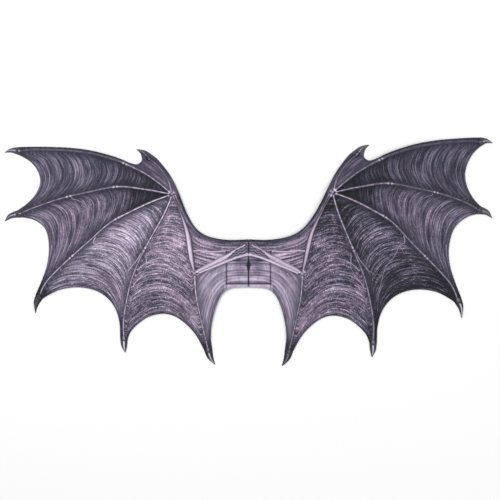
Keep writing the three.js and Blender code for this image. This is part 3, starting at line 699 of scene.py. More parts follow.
def membrane_material():
    """Foam-backed fabric: streaks, a dark border inside a paler cut rim, shade beside the bones."""
    made, nodes = material("membrane")
    place_in_bay = nodes.add("ShaderNodeUVMap", uv_map="UVMap").outputs[0]
    streaks = nodes.put(STREAKS, Place=place_in_bay)
    position = nodes.add("ShaderNodeTexCoord").outputs["Object"]
    mottle = nodes.math("SUBTRACT", nodes.noise(position, 22.0, 3.0), 0.5)
    streak = nodes.math("SUBTRACT", streaks["Streak"], 0.45)
    hatch = nodes.math("SUBTRACT", streaks["Hatch"], 0.32)
    fold = nodes.math("SUBTRACT", nodes.attribute("fold"), 0.5)
    # Both attributes are in centimetres, so that 0.5 is 5 mm.
    near_edge = nodes.steps(nodes.attribute("edge"), (0.0, 0.3), (0.08, 0.8), (0.15, 1.0),
                            (0.4, 0.55), (0.9, 0.0))
    near_bone = nodes.steps(nodes.math("MULTIPLY", nodes.attribute("bone"), 0.5),
                            (0.0, 1.0), (0.25, 0.8), (0.9, 0.0))
    quieter = nodes.math("MULTIPLY", near_bone, nodes.attribute("depth"))
    quieter = nodes.math("SUBTRACT", 1.0, quieter)
    streak = nodes.math("MULTIPLY", streak, quieter)
    value = nodes.math("MULTIPLY_ADD", streak, nodes.attribute("streak"), nodes.attribute("tone"))
    value = nodes.math("MULTIPLY_ADD", hatch, nodes.attribute("hatch"), value)
    value = nodes.math("MULTIPLY_ADD", mottle, 0.2, value)
    value = nodes.math("MULTIPLY_ADD", fold, 0.10, value)
    shaded = value
    for near, strength in ((near_edge, "border"), (near_bone, "depth")):
        darker = nodes.math("MULTIPLY", near, nodes.attribute(strength))
        shaded = nodes.math("MULTIPLY", shaded, nodes.math("SUBTRACT", 1.0, darker))
    shaded = nodes.math("MULTIPLY", shaded, nodes.attribute("shade"))
    hue = nodes.math("MULTIPLY_ADD", nodes.noise(position, 16.0, 2.0), 0.5,
                     nodes.math("MULTIPLY", nodes.attribute("hue"), 0.5))
    colour = nodes.put(PALETTE, Tone=shaded, Hue=hue)["Colour"]
    weave = nodes.put(WEAVE, Place=position)["Height"]
    height = nodes.math("MULTIPLY_ADD", streaks["Hatch"], 0.3,
                        nodes.math("MULTIPLY", streaks["Streak"], 0.6))
    height = nodes.math("MULTIPLY_ADD", weave, 0.12, height)
    finish_material(nodes, colour, height, 0.78, 0.0005,
                    **{"Sheen Weight": 0.1, "Sheen Roughness": 0.5, "Specular IOR Level": 0.28})
    return made


def bone_material(name, roughness, grain, hue, coat=0.0):
    """Moulded foam or horn: the tone attribute with a grain that runs along the bone."""
    made, nodes = material(name)
    along = nodes.add("ShaderNodeUVMap", uv_map="UVMap").outputs[0]
    parts = nodes.add("ShaderNodeSeparateXYZ", {0: along}).outputs
    stretched = nodes.add("ShaderNodeCombineXYZ", {"X": nodes.math("MULTIPLY", parts["X"], 9.0),
                                                  "Y": nodes.math("MULTIPLY", parts["Y"], 60.0)})
    fibres = nodes.noise(stretched.outputs[0], 1.0, 3.0, 0.4)
    value = nodes.math("MULTIPLY_ADD", nodes.math("SUBTRACT", fibres, 0.5), grain,
                       nodes.attribute("tone"))
    colour = nodes.put(PALETTE, Tone=value, Hue=hue)["Colour"]
    finish_material(nodes, colour, fibres, roughness, 0.0004, **{"Coat Weight": coat})
    return made


def cloth_material(name, colour, threads, depth, roughness=0.8):
    """Plain woven cloth in one colour, with painted highlight on its high threads and painted shade
    between them.
    """
    made, nodes = material(name)
    place_on = nodes.add("ShaderNodeTexCoord").outputs["Object"]
    weave = nodes.put(WEAVE, Place=place_on, Threads=threads)["Height"]
    # Painted highlight on the high threads and painted shade between them, more on some threads
    # than others by noise.
    thread_light = nodes.math("MULTIPLY", weave, nodes.noise(place_on, 60.0, 3.0))
    dark = linear(tuple(c * 0.6 for c in colour))
    light = linear(tuple(min(1, c * 1.5) for c in colour))
    mixed = nodes.add("ShaderNodeMix", {"Factor": thread_light, 6: dark, 7: light}, data_type="RGBA")
    finish_material(nodes, mixed.outputs[2], weave, roughness, depth)
    return made


MEMBRANE = membrane_material()
BONE = bone_material("bone", 0.55, 0.34, 0.5)
HORN = bone_material("horn", 0.22, 0.12, 0.4, coat=0.5)
WEBBING = cloth_material("webbing", (0.10, 0.10, 0.11), 700.0, 0.0003)
BACKING = cloth_material("backing", (0.2, 0.19, 0.22), 900.0, 0.0002)
THREAD = cloth_material("thread", (0.13, 0.12, 0.15), 2500.0, 0.0001, 0.6)


def heights_on(tree, points):
    """Height of the panel's face under each point, from above."""
    found = []
    for x, y in points:
        hit = tree.ray_cast(Vector((x, y, 1)), Vector((0, 0, -1)))[0]
        found.append(hit.z if hit else np.nan)
    heights = np.array(found)
    known = np.nonzero(~np.isnan(heights))[0]
    return np.interp(np.arange(len(heights)), known, heights[known])


def open_edges_of(faces):
    """The edges that only one face has, in the direction in which that face runs."""
    seen = {}
    for face in faces:
        for a, b in zip(face, face[1:] + face[:1]):
            seen[(a, b)] = (b, a)
    return [(a, b) for (a, b), back in seen.items() if back not in seen]


def make_wing(side):
    """The membrane of one wing, as a closed sheet with a thinner cut rim."""
    name = WING_OF[side]
    points, quads, corners, carried = wing_surface(side)
    points = on_side(points, side)
    faces, places = clean_faces(quads, corners)
    turned = []
    for face, place_of in zip(faces, places):  # every face turns the same way, seen from above
        p = points[face]
        area = sum(p[k - 1][0] * p[k][1] - p[k][0] * p[k - 1][1] for k in range(len(face)))
        turned.append((face, place_of) if area > 0 else (face[::-1], place_of[::-1]))
    faces, places = [f for f, _ in turned], [q for _, q in turned]
    open_edges = open_edges_of(faces)
    rim = [0.5 * (points[a] + points[b]) for a, b in open_edges]
    bones = np.vstack([on_side(run, side) for run in bone_lines().values()])
    edge = distance_to(points, [p for p in rim if abs(p[0]) > AT_SEAM])
    beside = distance_to(points, bones)
    count = len(points)
    thickness = RIM_THICKNESS + (PANEL_THICKNESS - RIM_THICKNESS) * smooth(0, RIM_WIDTH, edge)
    quiet = smooth(0.002, 0.012, edge) * smooth(0.004, 0.012, beside)
    top = points.copy()
    top[:, 2] += thickness + (carried["fold"] - 0.6) * FOLD_HEIGHT * quiet
    outward = np.zeros((count, 2))
    for a, b in open_edges:
        along = points[b][:2] - points[a][:2]
        normal = np.array([along[1], -along[0]]) / max(np.linalg.norm(along), 1e-9)
        outward[a] += normal
        outward[b] += normal
    outer = np.nonzero(np.abs(outward).sum(axis=1) > 0)[0]
    unit = outward[outer] / np.linalg.norm(outward[outer], axis=1)[:, None]
    middle = 0.5 * (points[outer] + top[outer])
    at_seam = np.abs(points[outer][:, 0]) < AT_SEAM
    middle[:, :2] += unit * np.where(at_seam, 0, RIM_BULGE)[:, None]
    ring = dict(zip(outer.tolist(), range(2 * count, 2 * count + len(outer))))
    everything = np.vstack([top, points, middle])
    all_faces, all_places = list(faces), list(places)
    for face, place_of in zip(faces, places):
        all_faces.append([k + count for k in face[::-1]])
        all_places.append(place_of[::-1])
    for a, b in open_edges:
        wall = [[0.0, 0.0]] * 4
        all_faces.append([a, ring[a], ring[b], b])
        all_faces.append([ring[a], a + count, b + count, ring[b]])
        all_places += [wall, wall]
    x, y = np.abs(points[:, 0]), points[:, 1]
    hem = smooth(0.058, 0.05, x) * smooth(HEM_TOP + 0.001, HEM_TOP - 0.001, y)
    carried["tone"] = carried["tone"] * (1 - hem) + HEM_TONE * hem
    carried["border"] *= (1 - hem) * (1 + 0.25 * smooth(0.1, 0.03, x) * smooth(-0.01, 0.01, y))
    # Painted shade in the "shade" attribute: a dark band along the seam, widest around SEAM_MARK,
    # for the groove where the two wings meet, and dark lines along the box's sides and lower
    # stitches, for their grooves.
    width = 0.0004 + 0.0046 * np.exp(-(((y - SEAM_MARK) / 0.011) ** 2))
    shade = 1 - 0.75 * np.exp(-((x / width) ** 4))
    upright = np.exp(-(((x - PATCH_SIZE[0] / 2) / 0.0012) ** 2))
    shade *= 1 - 0.5 * upright * smooth(0.004, -0.002, y)
    shade *= 1 - 0.6 * np.exp(-(((y - HEM_TOP) / 0.0014) ** 2)) * smooth(0.054, 0.05, x)
    values = {**carried, "edge": edge * 100, "bone": beside * 100, "shade": shade}
    under = {"tone": 0, "streak": 0.12, "hatch": 0.25, "border": 0, "depth": 0, "fold": 0.5}
    whole = {key: np.concatenate([data, data * under.get(key, 1), data[outer]])
             for key, data in values.items()}
    whole["tone"][count: 2 * count] = UNDERSIDE_TONE
    made = mesh_object(name + "_membrane", everything, all_faces, whole, all_places)
    piece(made, MEMBRANE, "wing_fabric", name + "_wing_panel")
    tree = BVHTree.FromPolygons([tuple(p) for p in top], faces)
    return tree


def profile_at(table, share):
    table = np.array(table)
    return (np.interp(share, table[:, 0], table[:, 1]), np.interp(share, table[:, 0], table[:, 2]))


def strip(run, width, rise, tree, tone, around=18, sink=0.0006, seed=0.0):
    """A raised piece along a line: it follows the panel's face and sinks a little into it.
    Rise and tone are called with the share along and the share across, from -1 to 1.
    Returns points, faces, tones and the places of the faces' corners."""
    count = len(run)
    share = np.linspace(0, 1, count)
    tangent = np.gradient(run, axis=0)
    tangent /= np.linalg.norm(tangent, axis=1)[:, None]
    normal = np.column_stack([-tangent[:, 1], tangent[:, 0]])
    side = np.sin(np.linspace(-math.pi / 2, math.pi / 2, around))
    along, across = np.meshgrid(share, side, indexing="ij")
    place_xy = run[:, None] + normal[:, None] * (side[None, :, None] * width(share)[:, None, None])
    base = heights_on(tree, place_xy.reshape(-1, 2)).reshape(count, around)
    lifted_by = rise(along, across)
    ends = np.minimum(1, np.minimum(along, 1 - along) * count / 3)
    top = base + lifted_by * ends - sink * (1 - ends) - np.where(np.abs(across) > 0.999, sink, 0)
    under = base - sink * 1.6
    upper = np.dstack([place_xy, top])
    lower = np.dstack([place_xy, under])[:, [0, around // 2, around - 1]]
    points = np.vstack([upper.reshape(-1, 3), lower.reshape(-1, 3)])
    faces, places = [], []
    length = lengths(run)

    def spot(i, j):
        return [side[j] * 0.5 + 0.5 + seed, length[i] + seed]

    low = count * around
    for i in range(count - 1):
        for j in range(around - 1):
            a, b = i * around + j, (i + 1) * around + j
            faces.append([a, b, b + 1, a + 1])
            places.append([spot(i, j), spot(i + 1, j), spot(i + 1, j + 1), spot(i, j + 1)])
        for j in range(2):
            a, b = low + i * 3 + j, low + (i + 1) * 3 + j
            faces.append([a, a + 1, b + 1, b])
            places.append([spot(i, 0)] * 4)
        for j, k in ((0, 0), (around - 1, 2)):
            a, b = i * around + j, (i + 1) * around + j
            c, d = low + i * 3 + k, low + (i + 1) * 3 + k
            faces.append([a, c, d, b] if j == 0 else [a, b, d, c])
            places.append([spot(i, j)] * 4)
    first = list(range(around))
    faces.append(first + [low + 2, low + 1, low])
    last = [(count - 1) * around + j for j in range(around)]
    end = low + (count - 1) * 3
    faces.append(last[::-1] + [end, end + 1, end + 2])
    places += [[spot(0, 0)] * (around + 3), [spot(count - 1, 0)] * (around + 3)]
    tones = np.concatenate([tone(along, across).ravel(), np.full(count * 3, 0.3)])
    return points, faces, tones, places


def raised_strip(name, *args, **settings):
    points, faces, tones, places = strip(*args, seed=sum(map(ord, name)) * 0.01, **settings)
    return mesh_object(name, points, faces, {"tone": tones}, places)


def merged(name, parts):
    """Several strips as one mesh object."""
    points, faces, tones, places, count = [], [], [], [], 0
    for part_points, part_faces, part_tones, part_places in parts:
        points.append(part_points)
        faces += [[k + count for k in face] for face in part_faces]
        tones.append(part_tones)
        places += part_places
        count += len(part_points)
    return mesh_object(name, np.vstack(points), faces, {"tone": np.concatenate(tones)}, places)


# Veins of the membrane. Columns: bay, first and last place in it (across, along), branches.
VEINS = [
    ("fan_2", (0.04, 0.66), (0.97, 0.66), 2),
    ("fan_3", (0.03, 0.50), (0.82, 0.90), 1),
    ("fan_3", (0.97, 0.40), (0.62, 0.80), 1),
    ("fan_4", (0.02, 0.53), (0.98, 0.56), 3),
    ("fan_4", (0.02, 0.66), (0.60, 0.63), 1),
    ("body", (0.70, 0.10), (0.95, 0.35), 1),
]
VEIN_HALF_WIDTH = 0.0013
VEIN_HEIGHT = 0.0006
VEIN_TONE = {"left": 0.84, "right": 0.68}
VEIN_LIGHT = {"fan_2": 0.7}  # as a share of the others


def vein_lines():
    """The veins of the right wing, each as points seen from above."""
    rng = np.random.default_rng(11)
    bays = panel_bays()
    found = []

    def on_bay(grid, uv):
        rows, columns = grid.shape[:2]
        u, v = np.clip(uv[:, 0], 0, 1) * (columns - 1), np.clip(uv[:, 1], 0, 1) * (rows - 1)
        j, i = np.minimum(u.astype(int), columns - 2), np.minimum(v.astype(int), rows - 2)
        fu, fv = (u - j)[:, None], (v - i)[:, None]
        low = grid[i, j] * (1 - fu) + grid[i, j + 1] * fu
        high = grid[i + 1, j] * (1 - fu) + grid[i + 1, j + 1] * fu
        return (low * (1 - fv) + high * fv)[:, :2]

    for name, first, last, branches in VEINS:
        steps = 9
        way = straight(first, last, steps)
        way[1:-1] += rng.normal(0, 0.008, (steps - 1, 2))
        light = VEIN_LIGHT.get(name, 1.0)
        found.append((on_bay(bays[name], line(way, 90, scaled=False)), 1.0, light))
        for _ in range(branches):
            root = way[rng.integers(2, steps - 1)]
            sideways = rng.uniform(-0.14, 0.14)
            reach = np.array([sideways, rng.choice([-1, 1]) * rng.uniform(0.07, 0.14)])
            twig = straight(root, np.clip(root + reach, 0.1, 0.9), 4)
            twig[1:] += rng.normal(0, 0.007, (4, 2))
            found.append((on_bay(bays[name], line(twig, 40, scaled=False)), 0.7, light))
    return found


def make_veins(side, tree):
    wing = WING_OF[side]
    parts = []
    for run, size, light in vein_lines():
        run = on_side(run, side)
        pale = VEIN_TONE[wing] * light
        parts.append(strip(
            run,
            lambda s: VEIN_HALF_WIDTH * size * (1 - 0.75 * s),
            lambda s, a: VEIN_HEIGHT * size * (1 - 0.6 * s) * dome(a),
            tree,
            lambda s, a: 0.35 + (pale - 0.35) * smooth(0.95, 0.4, np.abs(a)) * (1 - 0.4 * s),
            around=8, sink=0.0003))
    slack = straight((0.1385, 0.0016 + SHIFT), (0.0525, 0.0012 + SHIFT), 90)
    slack[:, 1] += 0.0011 * np.sin(np.linspace(0, 7, 91)) * np.sin(np.linspace(0, math.pi, 91))
    parts.append(strip(on_side(slack, side), lambda s: 0.0015 + 0 * s,
                       lambda s, a: 0.0014 * dome(a), tree,
                       lambda s, a: 0.4 + 0.5 * smooth(0.95, 0.4, np.abs(a)),
                       around=8, sink=0.0003))
    piece(merged(f"{wing}_veins", parts), BONE, "wing_fabric")


def cut(run, start, end):
    """A line without the given lengths at its ends."""
    length = lengths(run)
    wanted = np.linspace(start, length[-1] - end, len(run))
    return np.column_stack([np.interp(wanted, length, run[:, k]) for k in range(2)])


# How light a finger's crest is on each wing: the bone's pale colour with a painted highlight along
# the crest.
CREST_TONE = {"left": 0.80, "right": 0.66}
# How light a finger's crest is at its outer end and at its root.
FINGER_LIGHT = {"finger_1": (0.42, 0.75), "finger_2": (0.62, 0.85), "finger_3": (0.8, 1.0),
                "finger_4": (0.8, 0.95), "finger_5": (0.85, 0.95), "thumb": (0.55, 0.7)}
# How dark a bone's flanks are painted, as painted shade beside the pale crest.
FLANK_SHADE_TONE = 0.30
FOREARM_TONE = {"left": 0.84, "right": 0.74}
FOREARM_HALF_WIDTH = {"left": 0.0082, "right": 0.0066}
ARM_TONE = {"left": 0.74, "right": 0.70}
FINGER_PROFILE = [(0, 0.8, 0.85), (0.1, 1, 1), (0.6, 0.9, 0.9), (1, 0.7, 0.75)]
FOREARM_PROFILE = [(0, 0.5, 0.7), (0.25, 0.8, 0.9), (0.6, 1, 1), (0.85, 0.85, 1), (1, 0.3, 0.7)]
UPPER_ARM_PROFILE = [(0, 1, 0.8), (0.3, 0.72, 1), (0.7, 0.5, 1), (1, 0.36, 0.8)]
CLAW_PROFILE = [(0, 0.8, 0.75), (0.1, 1, 1), (0.24, 0.98, 0.95), (0.32, 0.78, 0.8),
                (0.6, 0.6, 0.7), (0.85, 0.3, 0.45), (1, 0.08, 0.15)]
# Greatest half widths and heights of the raised pieces, in metres
FINGER_HALF_WIDTH = 0.0036
FINGER_5_HALF_WIDTH = 0.0030
FINGER_HEIGHT = 0.0027
KNUCKLE_GAP = 0.0036  # from a joint's crease to the swelling on each side of it
KNUCKLE_REACH = 0.0022
FOREARM_HEIGHT = 0.0036
UPPER_ARM_HALF_WIDTH = 0.016
UPPER_ARM_HEIGHT = 0.0042
JOINT_HEIGHT = 0.0046
CLAW_HALF_WIDTH = 0.0054
CLAW_HEIGHT = 0.0044


def dome(across, power=2.0):
    return 1 - np.abs(across) ** power


def make_fingers(side, tree):
    wing = WING_OF[side]
    lines = bone_lines()
    crest = CREST_TONE[wing]
    for name in ("finger_1", "finger_2", "finger_3", "finger_4", "finger_5", "thumb"):
        start = ELBOW_RADIUS if name == "finger_5" else WRIST_RADIUS - 0.003
        run = on_side(cut(lines[name], start, 0.004), side)
        length = np.linalg.norm(np.diff(run, axis=0), axis=1).sum()
        knuckles = KNUCKLES[name]

        def near(share, gap=0.0):
            total = share * 0
            for knuckle in knuckles:
                away = (share - knuckle) * length
                total = (total + np.exp(-((away - gap) / KNUCKLE_REACH) ** 2)
                         + np.exp(-((away + gap) / KNUCKLE_REACH) ** 2))
            return total

        specks = value_noise(np.linspace(0, length / 0.005, 400), np.zeros(400), 7 + len(name))

        def width(share):
            half = FINGER_5_HALF_WIDTH if name == "finger_5" else FINGER_HALF_WIDTH
            half = half * profile_at(FINGER_PROFILE, share)[0]
            return half * (1 + 0.6 * near(share, KNUCKLE_GAP))

        def rise(share, across):
            tall = FINGER_HEIGHT * profile_at(FINGER_PROFILE, share)[1]
            tall = tall * (1 + 0.5 * near(share, KNUCKLE_GAP))
            return tall * np.clip(dome(across, 1.6), 0, 1)

        # The crest is pale and the flanks fall to the flank tone: painted highlight on the crest,
        # painted shade on the flanks. The swellings beside a knuckle are painted lighter, as
        # painted highlight, and its crease darker, as painted shade.
        def tone(share, across):
            pale = smooth(0.62, 0.15, np.abs(across))
            gap = np.clip(near(share, 0.0) * 0.5, 0, 1) if knuckles else 0
            knuckle_highlight = np.clip(near(share, KNUCKLE_GAP), 0, 1) if knuckles else 0
            dim, clear = FINGER_LIGHT[name]
            top = crest * (clear + (dim - clear) * smooth(0.2, 0.5, share))
            top = top * (0.78 + 0.44 * np.interp(share, np.linspace(0, 1, 400), specks))
            top = top + (crest + 0.18 - top) * knuckle_highlight + 0.16 * smooth(0.1, 0.02, share)
            return FLANK_SHADE_TONE + (top - FLANK_SHADE_TONE) * pale * (1 - 0.75 * gap)

        made = raised_strip(f"{wing}_{name}_bone", run, width, rise, tree, tone)
        piece(made, BONE, "bone", f"{wing}_{name}")


def make_arms(side, tree):
    wing = WING_OF[side]
    lines = bone_lines()
    run = on_side(cut(lines["forearm"], WRIST_RADIUS - 0.003, ELBOW_RADIUS - 0.004), side)

    def forearm_tone(share, across):
        # Painted highlight along the crest, set a little to one side, and painted shade down the
        # sides, no darker than 0.34.
        crest = FOREARM_TONE[wing] * (0.62 + 0.38 * smooth(0.15, 0.5, share))
        crest = crest * smooth(0.95, 0.3, np.abs(across - side * 0.1))
        grain = 0.16 * (value_noise(share * 7, across * 4 + 6, 37) - 0.5)
        return np.maximum(crest + grain, 0.34)

    made = raised_strip(f"{wing}_forearm_bone", run,
                        lambda s: FOREARM_HALF_WIDTH[wing] * profile_at(FOREARM_PROFILE, s)[0]
                        * (0.4 + 0.6 * smooth(0.1, 0.7, s)),
                        lambda s, a: FOREARM_HEIGHT * profile_at(FOREARM_PROFILE, s)[1] * dome(a),
                        tree, forearm_tone)
    piece(made, BONE, "bone", f"{wing}_forearm")
    run = on_side(cut(lines["upper_arm"], 0.003, ELBOW_RADIUS - 0.003), side)

    def ridges(share, across):
        """The upper bone, which thins towards the seam, and the lower one, each from 0 to 1."""
        up = side * across
        open_part = smooth(0.45, 0.15, share)
        centre = 0.28 + 0.44 * open_part + 0.05 * open_part * np.sin(share * 75)
        half = 0.46 - 0.34 * open_part
        upper = smooth(1.0, 0.55, np.abs(up - centre) / half)
        lower = smooth(1.0, 0.4, np.abs(up + 0.66) / (0.27 + 0.07 * (1 - open_part)))
        return upper, lower

    def wedge_waves(share, across):
        return np.sin(across * 15 + 1.6 * np.sin(share * 55))

    def arm_rise(share, across):
        upper, lower = ridges(share, across)
        tall = UPPER_ARM_HEIGHT * profile_at(UPPER_ARM_PROFILE, share)[1]
        waves = 0.0005 * wedge_waves(share, across) * (1 - np.maximum(upper, lower))
        floor_of = 0.25 + 0.4 * smooth(0.2, 0.5, share)
        shape = floor_of + (1 - floor_of) * np.maximum(upper, lower)
        return (tall * shape + waves) * np.clip((1 - np.abs(across)) * 8, 0, 1)

    def arm_tone(share, across):
        upper, lower = ridges(share, across)
        wedge = 0.36 + 0.16 * wedge_waves(share, across) * smooth(0.5, 0.3, share)
        between = 0.36 + (0.58 - 0.36) * smooth(0.3, 0.5, share)
        base = np.where(share < 0.4, wedge, between)
        grey = 0.06 * value_noise(share * 60, across * 3 + 4, 31)
        return base + (ARM_TONE[wing] + grey - base) * upper + (0.80 - base) * lower * (1 - upper)

    made = raised_strip(f"{wing}_upper_arm_bone", run,
                        lambda s: UPPER_ARM_HALF_WIDTH * profile_at(UPPER_ARM_PROFILE, s)[0],
                        arm_rise, tree, arm_tone, around=40)
    piece(made, BONE, "bone", f"{wing}_upper_arm")


def make_joint(side, tree, name, centre, radius, spokes):
    """A low knot of bone ends: a mound with a bump towards each bone that leaves it."""
    wing = WING_OF[side]
    rings, sides = 14, 60
    middle = on_side(np.array([place(centre)]), side)[0]
    turns = np.linspace(0, 2 * math.pi, sides, endpoint=False)
    angles = [math.atan2(*(spoke - middle)[::-1]) for spoke in spokes]
    bump = np.zeros(sides)
    for angle in angles:
        away = (turns - angle + math.pi) % (2 * math.pi) - math.pi
        bump = np.maximum(bump, np.exp(-(away / 0.22) ** 2))
    points, tones = [], []
    for k in range(rings):
        out = (k + 1) / rings
        reach = radius * out * (0.72 + 0.28 * bump * out)
        xy = middle + np.column_stack([np.cos(turns), np.sin(turns)]) * reach[:, None]
        base = heights_on(tree, xy)
        swell = (0.55 + 0.45 * np.exp(-((out - 0.72) / 0.2) ** 2) * bump
                 + 0.35 * math.exp(-(out / 0.3) ** 2))
        height = base + JOINT_HEIGHT * (1 - out**3) * swell - 0.0006 * (out == 1)
        points.append(np.column_stack([xy, height]))
        # Painted highlight on the crown and on the bumps towards the bones, and painted shade in
        # the ring between them; the crumbs vary the tone at random.
        ring = math.exp(-((out - 0.42) / 0.12) ** 2)
        spots = np.array([np.cos(turns), np.sin(turns)]) * out * 3 + 20
        crumbs = value_noise(*spots, 43) - 0.5
        tones.append(0.46 + 0.50 * bump * smooth(0.45, 0.6, out)
                     + 0.5 * math.exp(-(out / 0.25) ** 2) - 0.12 * ring + 0.6 * crumbs)
    top_z = heights_on(tree, [middle])[0]
    points.append(np.array([[*middle, top_z + JOINT_HEIGHT * 0.9]]))
    tones.append([0.7])
    points.append(np.array([[*middle, top_z - 0.001]]))
    tones.append([0.3])
    centre_top, centre_low = rings * sides, rings * sides + 1
    faces = []
    for k in range(rings - 1):
        faces += ring_faces(k * sides, (k + 1) * sides, sides)
    for j in range(sides):
        n = (j + 1) % sides
        faces.append([centre_top, j, n])
        faces.append([centre_low, (rings - 1) * sides + n, (rings - 1) * sides + j])
    points = np.vstack(points)
    places = [[[points[k][0] * 30, points[k][1]] for k in face] for face in faces]
    tones = {"tone": np.concatenate(tones)}
    made = mesh_object(f"{wing}_{name}_knot", points, faces, tones, places)
    piece(made, BONE, "bone", f"{wing}_{name}")


# How light each claw's middle is on the left wing and on the right wing, its colour with a painted
# highlight, and how dark its rims are, as painted shade.
CLAW_TONE = {"thumb_claw": (0.42, 0.46, 0.14), "claw_1": (0.56, 0.56, 0.14),
             "claw_2": (0.56, 0.50, 0.14), "claw_3": (0.14, 0.74, 0.07),
             "claw_4": (0.92, 0.78, 0.16), "claw_5": (0.74, 0.40, 0.07)}


def make_claws(side, tree):
    wing = WING_OF[side]
    lines = bone_lines()
    for claw, table in CLAWS.items():
        bone = lines["thumb" if claw == "thumb_claw" else claw.replace("claw", "finger")]
        root = root_of(claw)
        last = bone[-1] - bone[-24]
        back = root - last / np.linalg.norm(last) * 0.006
        tip = place(table[2])
        middle = (place(table[1]) + place(table[3])) / 2
        point = tip - (tip - middle) / np.linalg.norm(tip - middle) * 0.0016
        run = on_side(line([back, root, middle, point], 40, scaled=False), side)
        left, right, rim = CLAW_TONE[claw]
        pale = right if side > 0 else left

        def tone(share, across):
            # Pale down the middle and dark at the rims: painted highlight and painted shade.
            horn = rim + (pale - rim) * smooth(0.75, 0.25, np.abs(across))
            collar = smooth(0.2, 0.26, share) * smooth(0.36, 0.3, share)
            return horn * (1 - 0.75 * collar) * (0.6 + 0.4 * smooth(0.2, 0.35, share))

        def rise(share, across):
            groove = 1 - 0.35 * np.exp(-((share - 0.29) / 0.03) ** 2)
            return CLAW_HEIGHT * profile_at(CLAW_PROFILE, share)[1] * groove * dome(across, 1.8)

        made = raised_strip(f"{wing}_{claw}_horn", run,
                            lambda s: CLAW_HALF_WIDTH * profile_at(CLAW_PROFILE, s)[0],
                            rise, tree, tone, around=20)
        piece(made, HORN, "claw", f"{wing}_{claw}")


def stitch_nodes():
    """Geometry nodes that lay a thread's stitches along a line of points."""
    tree = bpy.data.node_groups.new("Stitches", "GeometryNodeTree")
    tree.interface.new_socket(name="Line", in_out="INPUT", socket_type="NodeSocketGeometry")
    for key, value in (("Spacing", 0.0042), ("Length", 0.0044), ("Thickness", 0.0016)):
        socket = tree.interface.new_socket(name=key, in_out="INPUT", socket_type="NodeSocketFloat")
        socket.default_value = value
    tree.interface.new_socket(name="Thread", in_out="INPUT", socket_type="NodeSocketMaterial")
    tree.interface.new_socket(name="Stitches", in_out="OUTPUT", socket_type="NodeSocketGeometry")
    nodes = Nodes(tree)
    given = nodes.add("NodeGroupInput").outputs
    curve = nodes.add("GeometryNodeMeshToCurve", {"Mesh": given["Line"]}).outputs[0]
    points = nodes.add("GeometryNodeResampleCurve", {"Curve": curve, "Length": given["Spacing"]},
                       mode="LENGTH")
    ball = nodes.add("GeometryNodeMeshUVSphere",
                     {"Segments": 8, "Rings": 6, "Radius": 0.5}).outputs[0]
    size = nodes.add("ShaderNodeCombineXYZ", {"X": given["Thickness"], "Y": given["Thickness"],
                                             "Z": given["Length"]}).outputs[0]
    stitch = nodes.add("GeometryNodeTransform", {"Geometry": ball, "Scale": size}).outputs[0]
    tangent = nodes.add("GeometryNodeInputTangent").outputs[0]
    turn = nodes.add("FunctionNodeAlignRotationToVector", {"Vector": tangent}, axis="Z").outputs[0]
    laid = nodes.add("GeometryNodeInstanceOnPoints",
                     {"Points": points.outputs[0], "Instance": stitch, "Rotation": turn}).outputs[0]
    real = nodes.add("GeometryNodeRealizeInstances", {"Geometry": laid}).outputs[0]
    sewn = nodes.add("GeometryNodeSetMaterial", {"Geometry": real, "Material": given["Thread"]})
    nodes.add("NodeGroupOutput", {"Stitches": sewn.outputs[0]})
    return tree


def stitched(name, lines, tree, **inputs):
    """Stitches along several lines of points, as one plain mesh."""
    points, edges = [], []
    for run in lines:
        start = len(points)
        points += [tuple(p) for p in run]
        edges += [(k, k + 1) for k in range(start, len(points) - 1)]
    mesh = bpy.data.meshes.new(name + "_line")
    mesh.from_pydata(points, edges, [])
    draft = in_scene(name + "_line", mesh)
    modifier = draft.modifiers.new("stitches", "NODES")
    modifier.node_group = tree
    for item in tree.interface.items_tree:
        if item.item_type == "SOCKET" and item.in_out == "INPUT" and item.name in inputs:
            modifier[item.identifier] = inputs[item.name]
    bpy.context.view_layer.update()
    shown = draft.evaluated_get(bpy.context.evaluated_depsgraph_get())
    plain = bpy.data.meshes.new_from_object(shown)
    plain.name = name
    made = in_scene(name, plain)
    bpy.data.objects.remove(draft)
    plain.shade_smooth()
    return made


def thread_lines(faces):
    """The stitched box's sides and lower side, on the face of both wings."""

    def on_face(xy):
        side = 1 if xy[:, 0].mean() > 0 else -1
        return np.column_stack([xy, heights_on(faces[side], xy) + 0.0002])

    lines = []
    for side in (-1, 1):
        x = side * PATCH_SIZE[0] / 2
        upright = straight((x, STITCH_TOP), (x, HEM_TOP), 60)
        across = straight((x, HEM_TOP), (side * 0.0008, HEM_TOP), 60)
        lines += [on_face(upright), on_face(across)]
    return lines


def zigzag_lines(faces):
    """The zigzag that holds the two wings edge to edge at the seam."""
    steps = 56
    y = np.linspace(SEAM_TOP, SEAM_LOW, steps)
    x = np.where(np.arange(steps) % 2, 0.0016, -0.0016)
    height = np.maximum(heights_on(faces[1], np.column_stack([np.abs(x), y])),
                        heights_on(faces[-1], np.column_stack([-np.abs(x), y])))
    return [np.column_stack([x, y, height + 0.0003])]


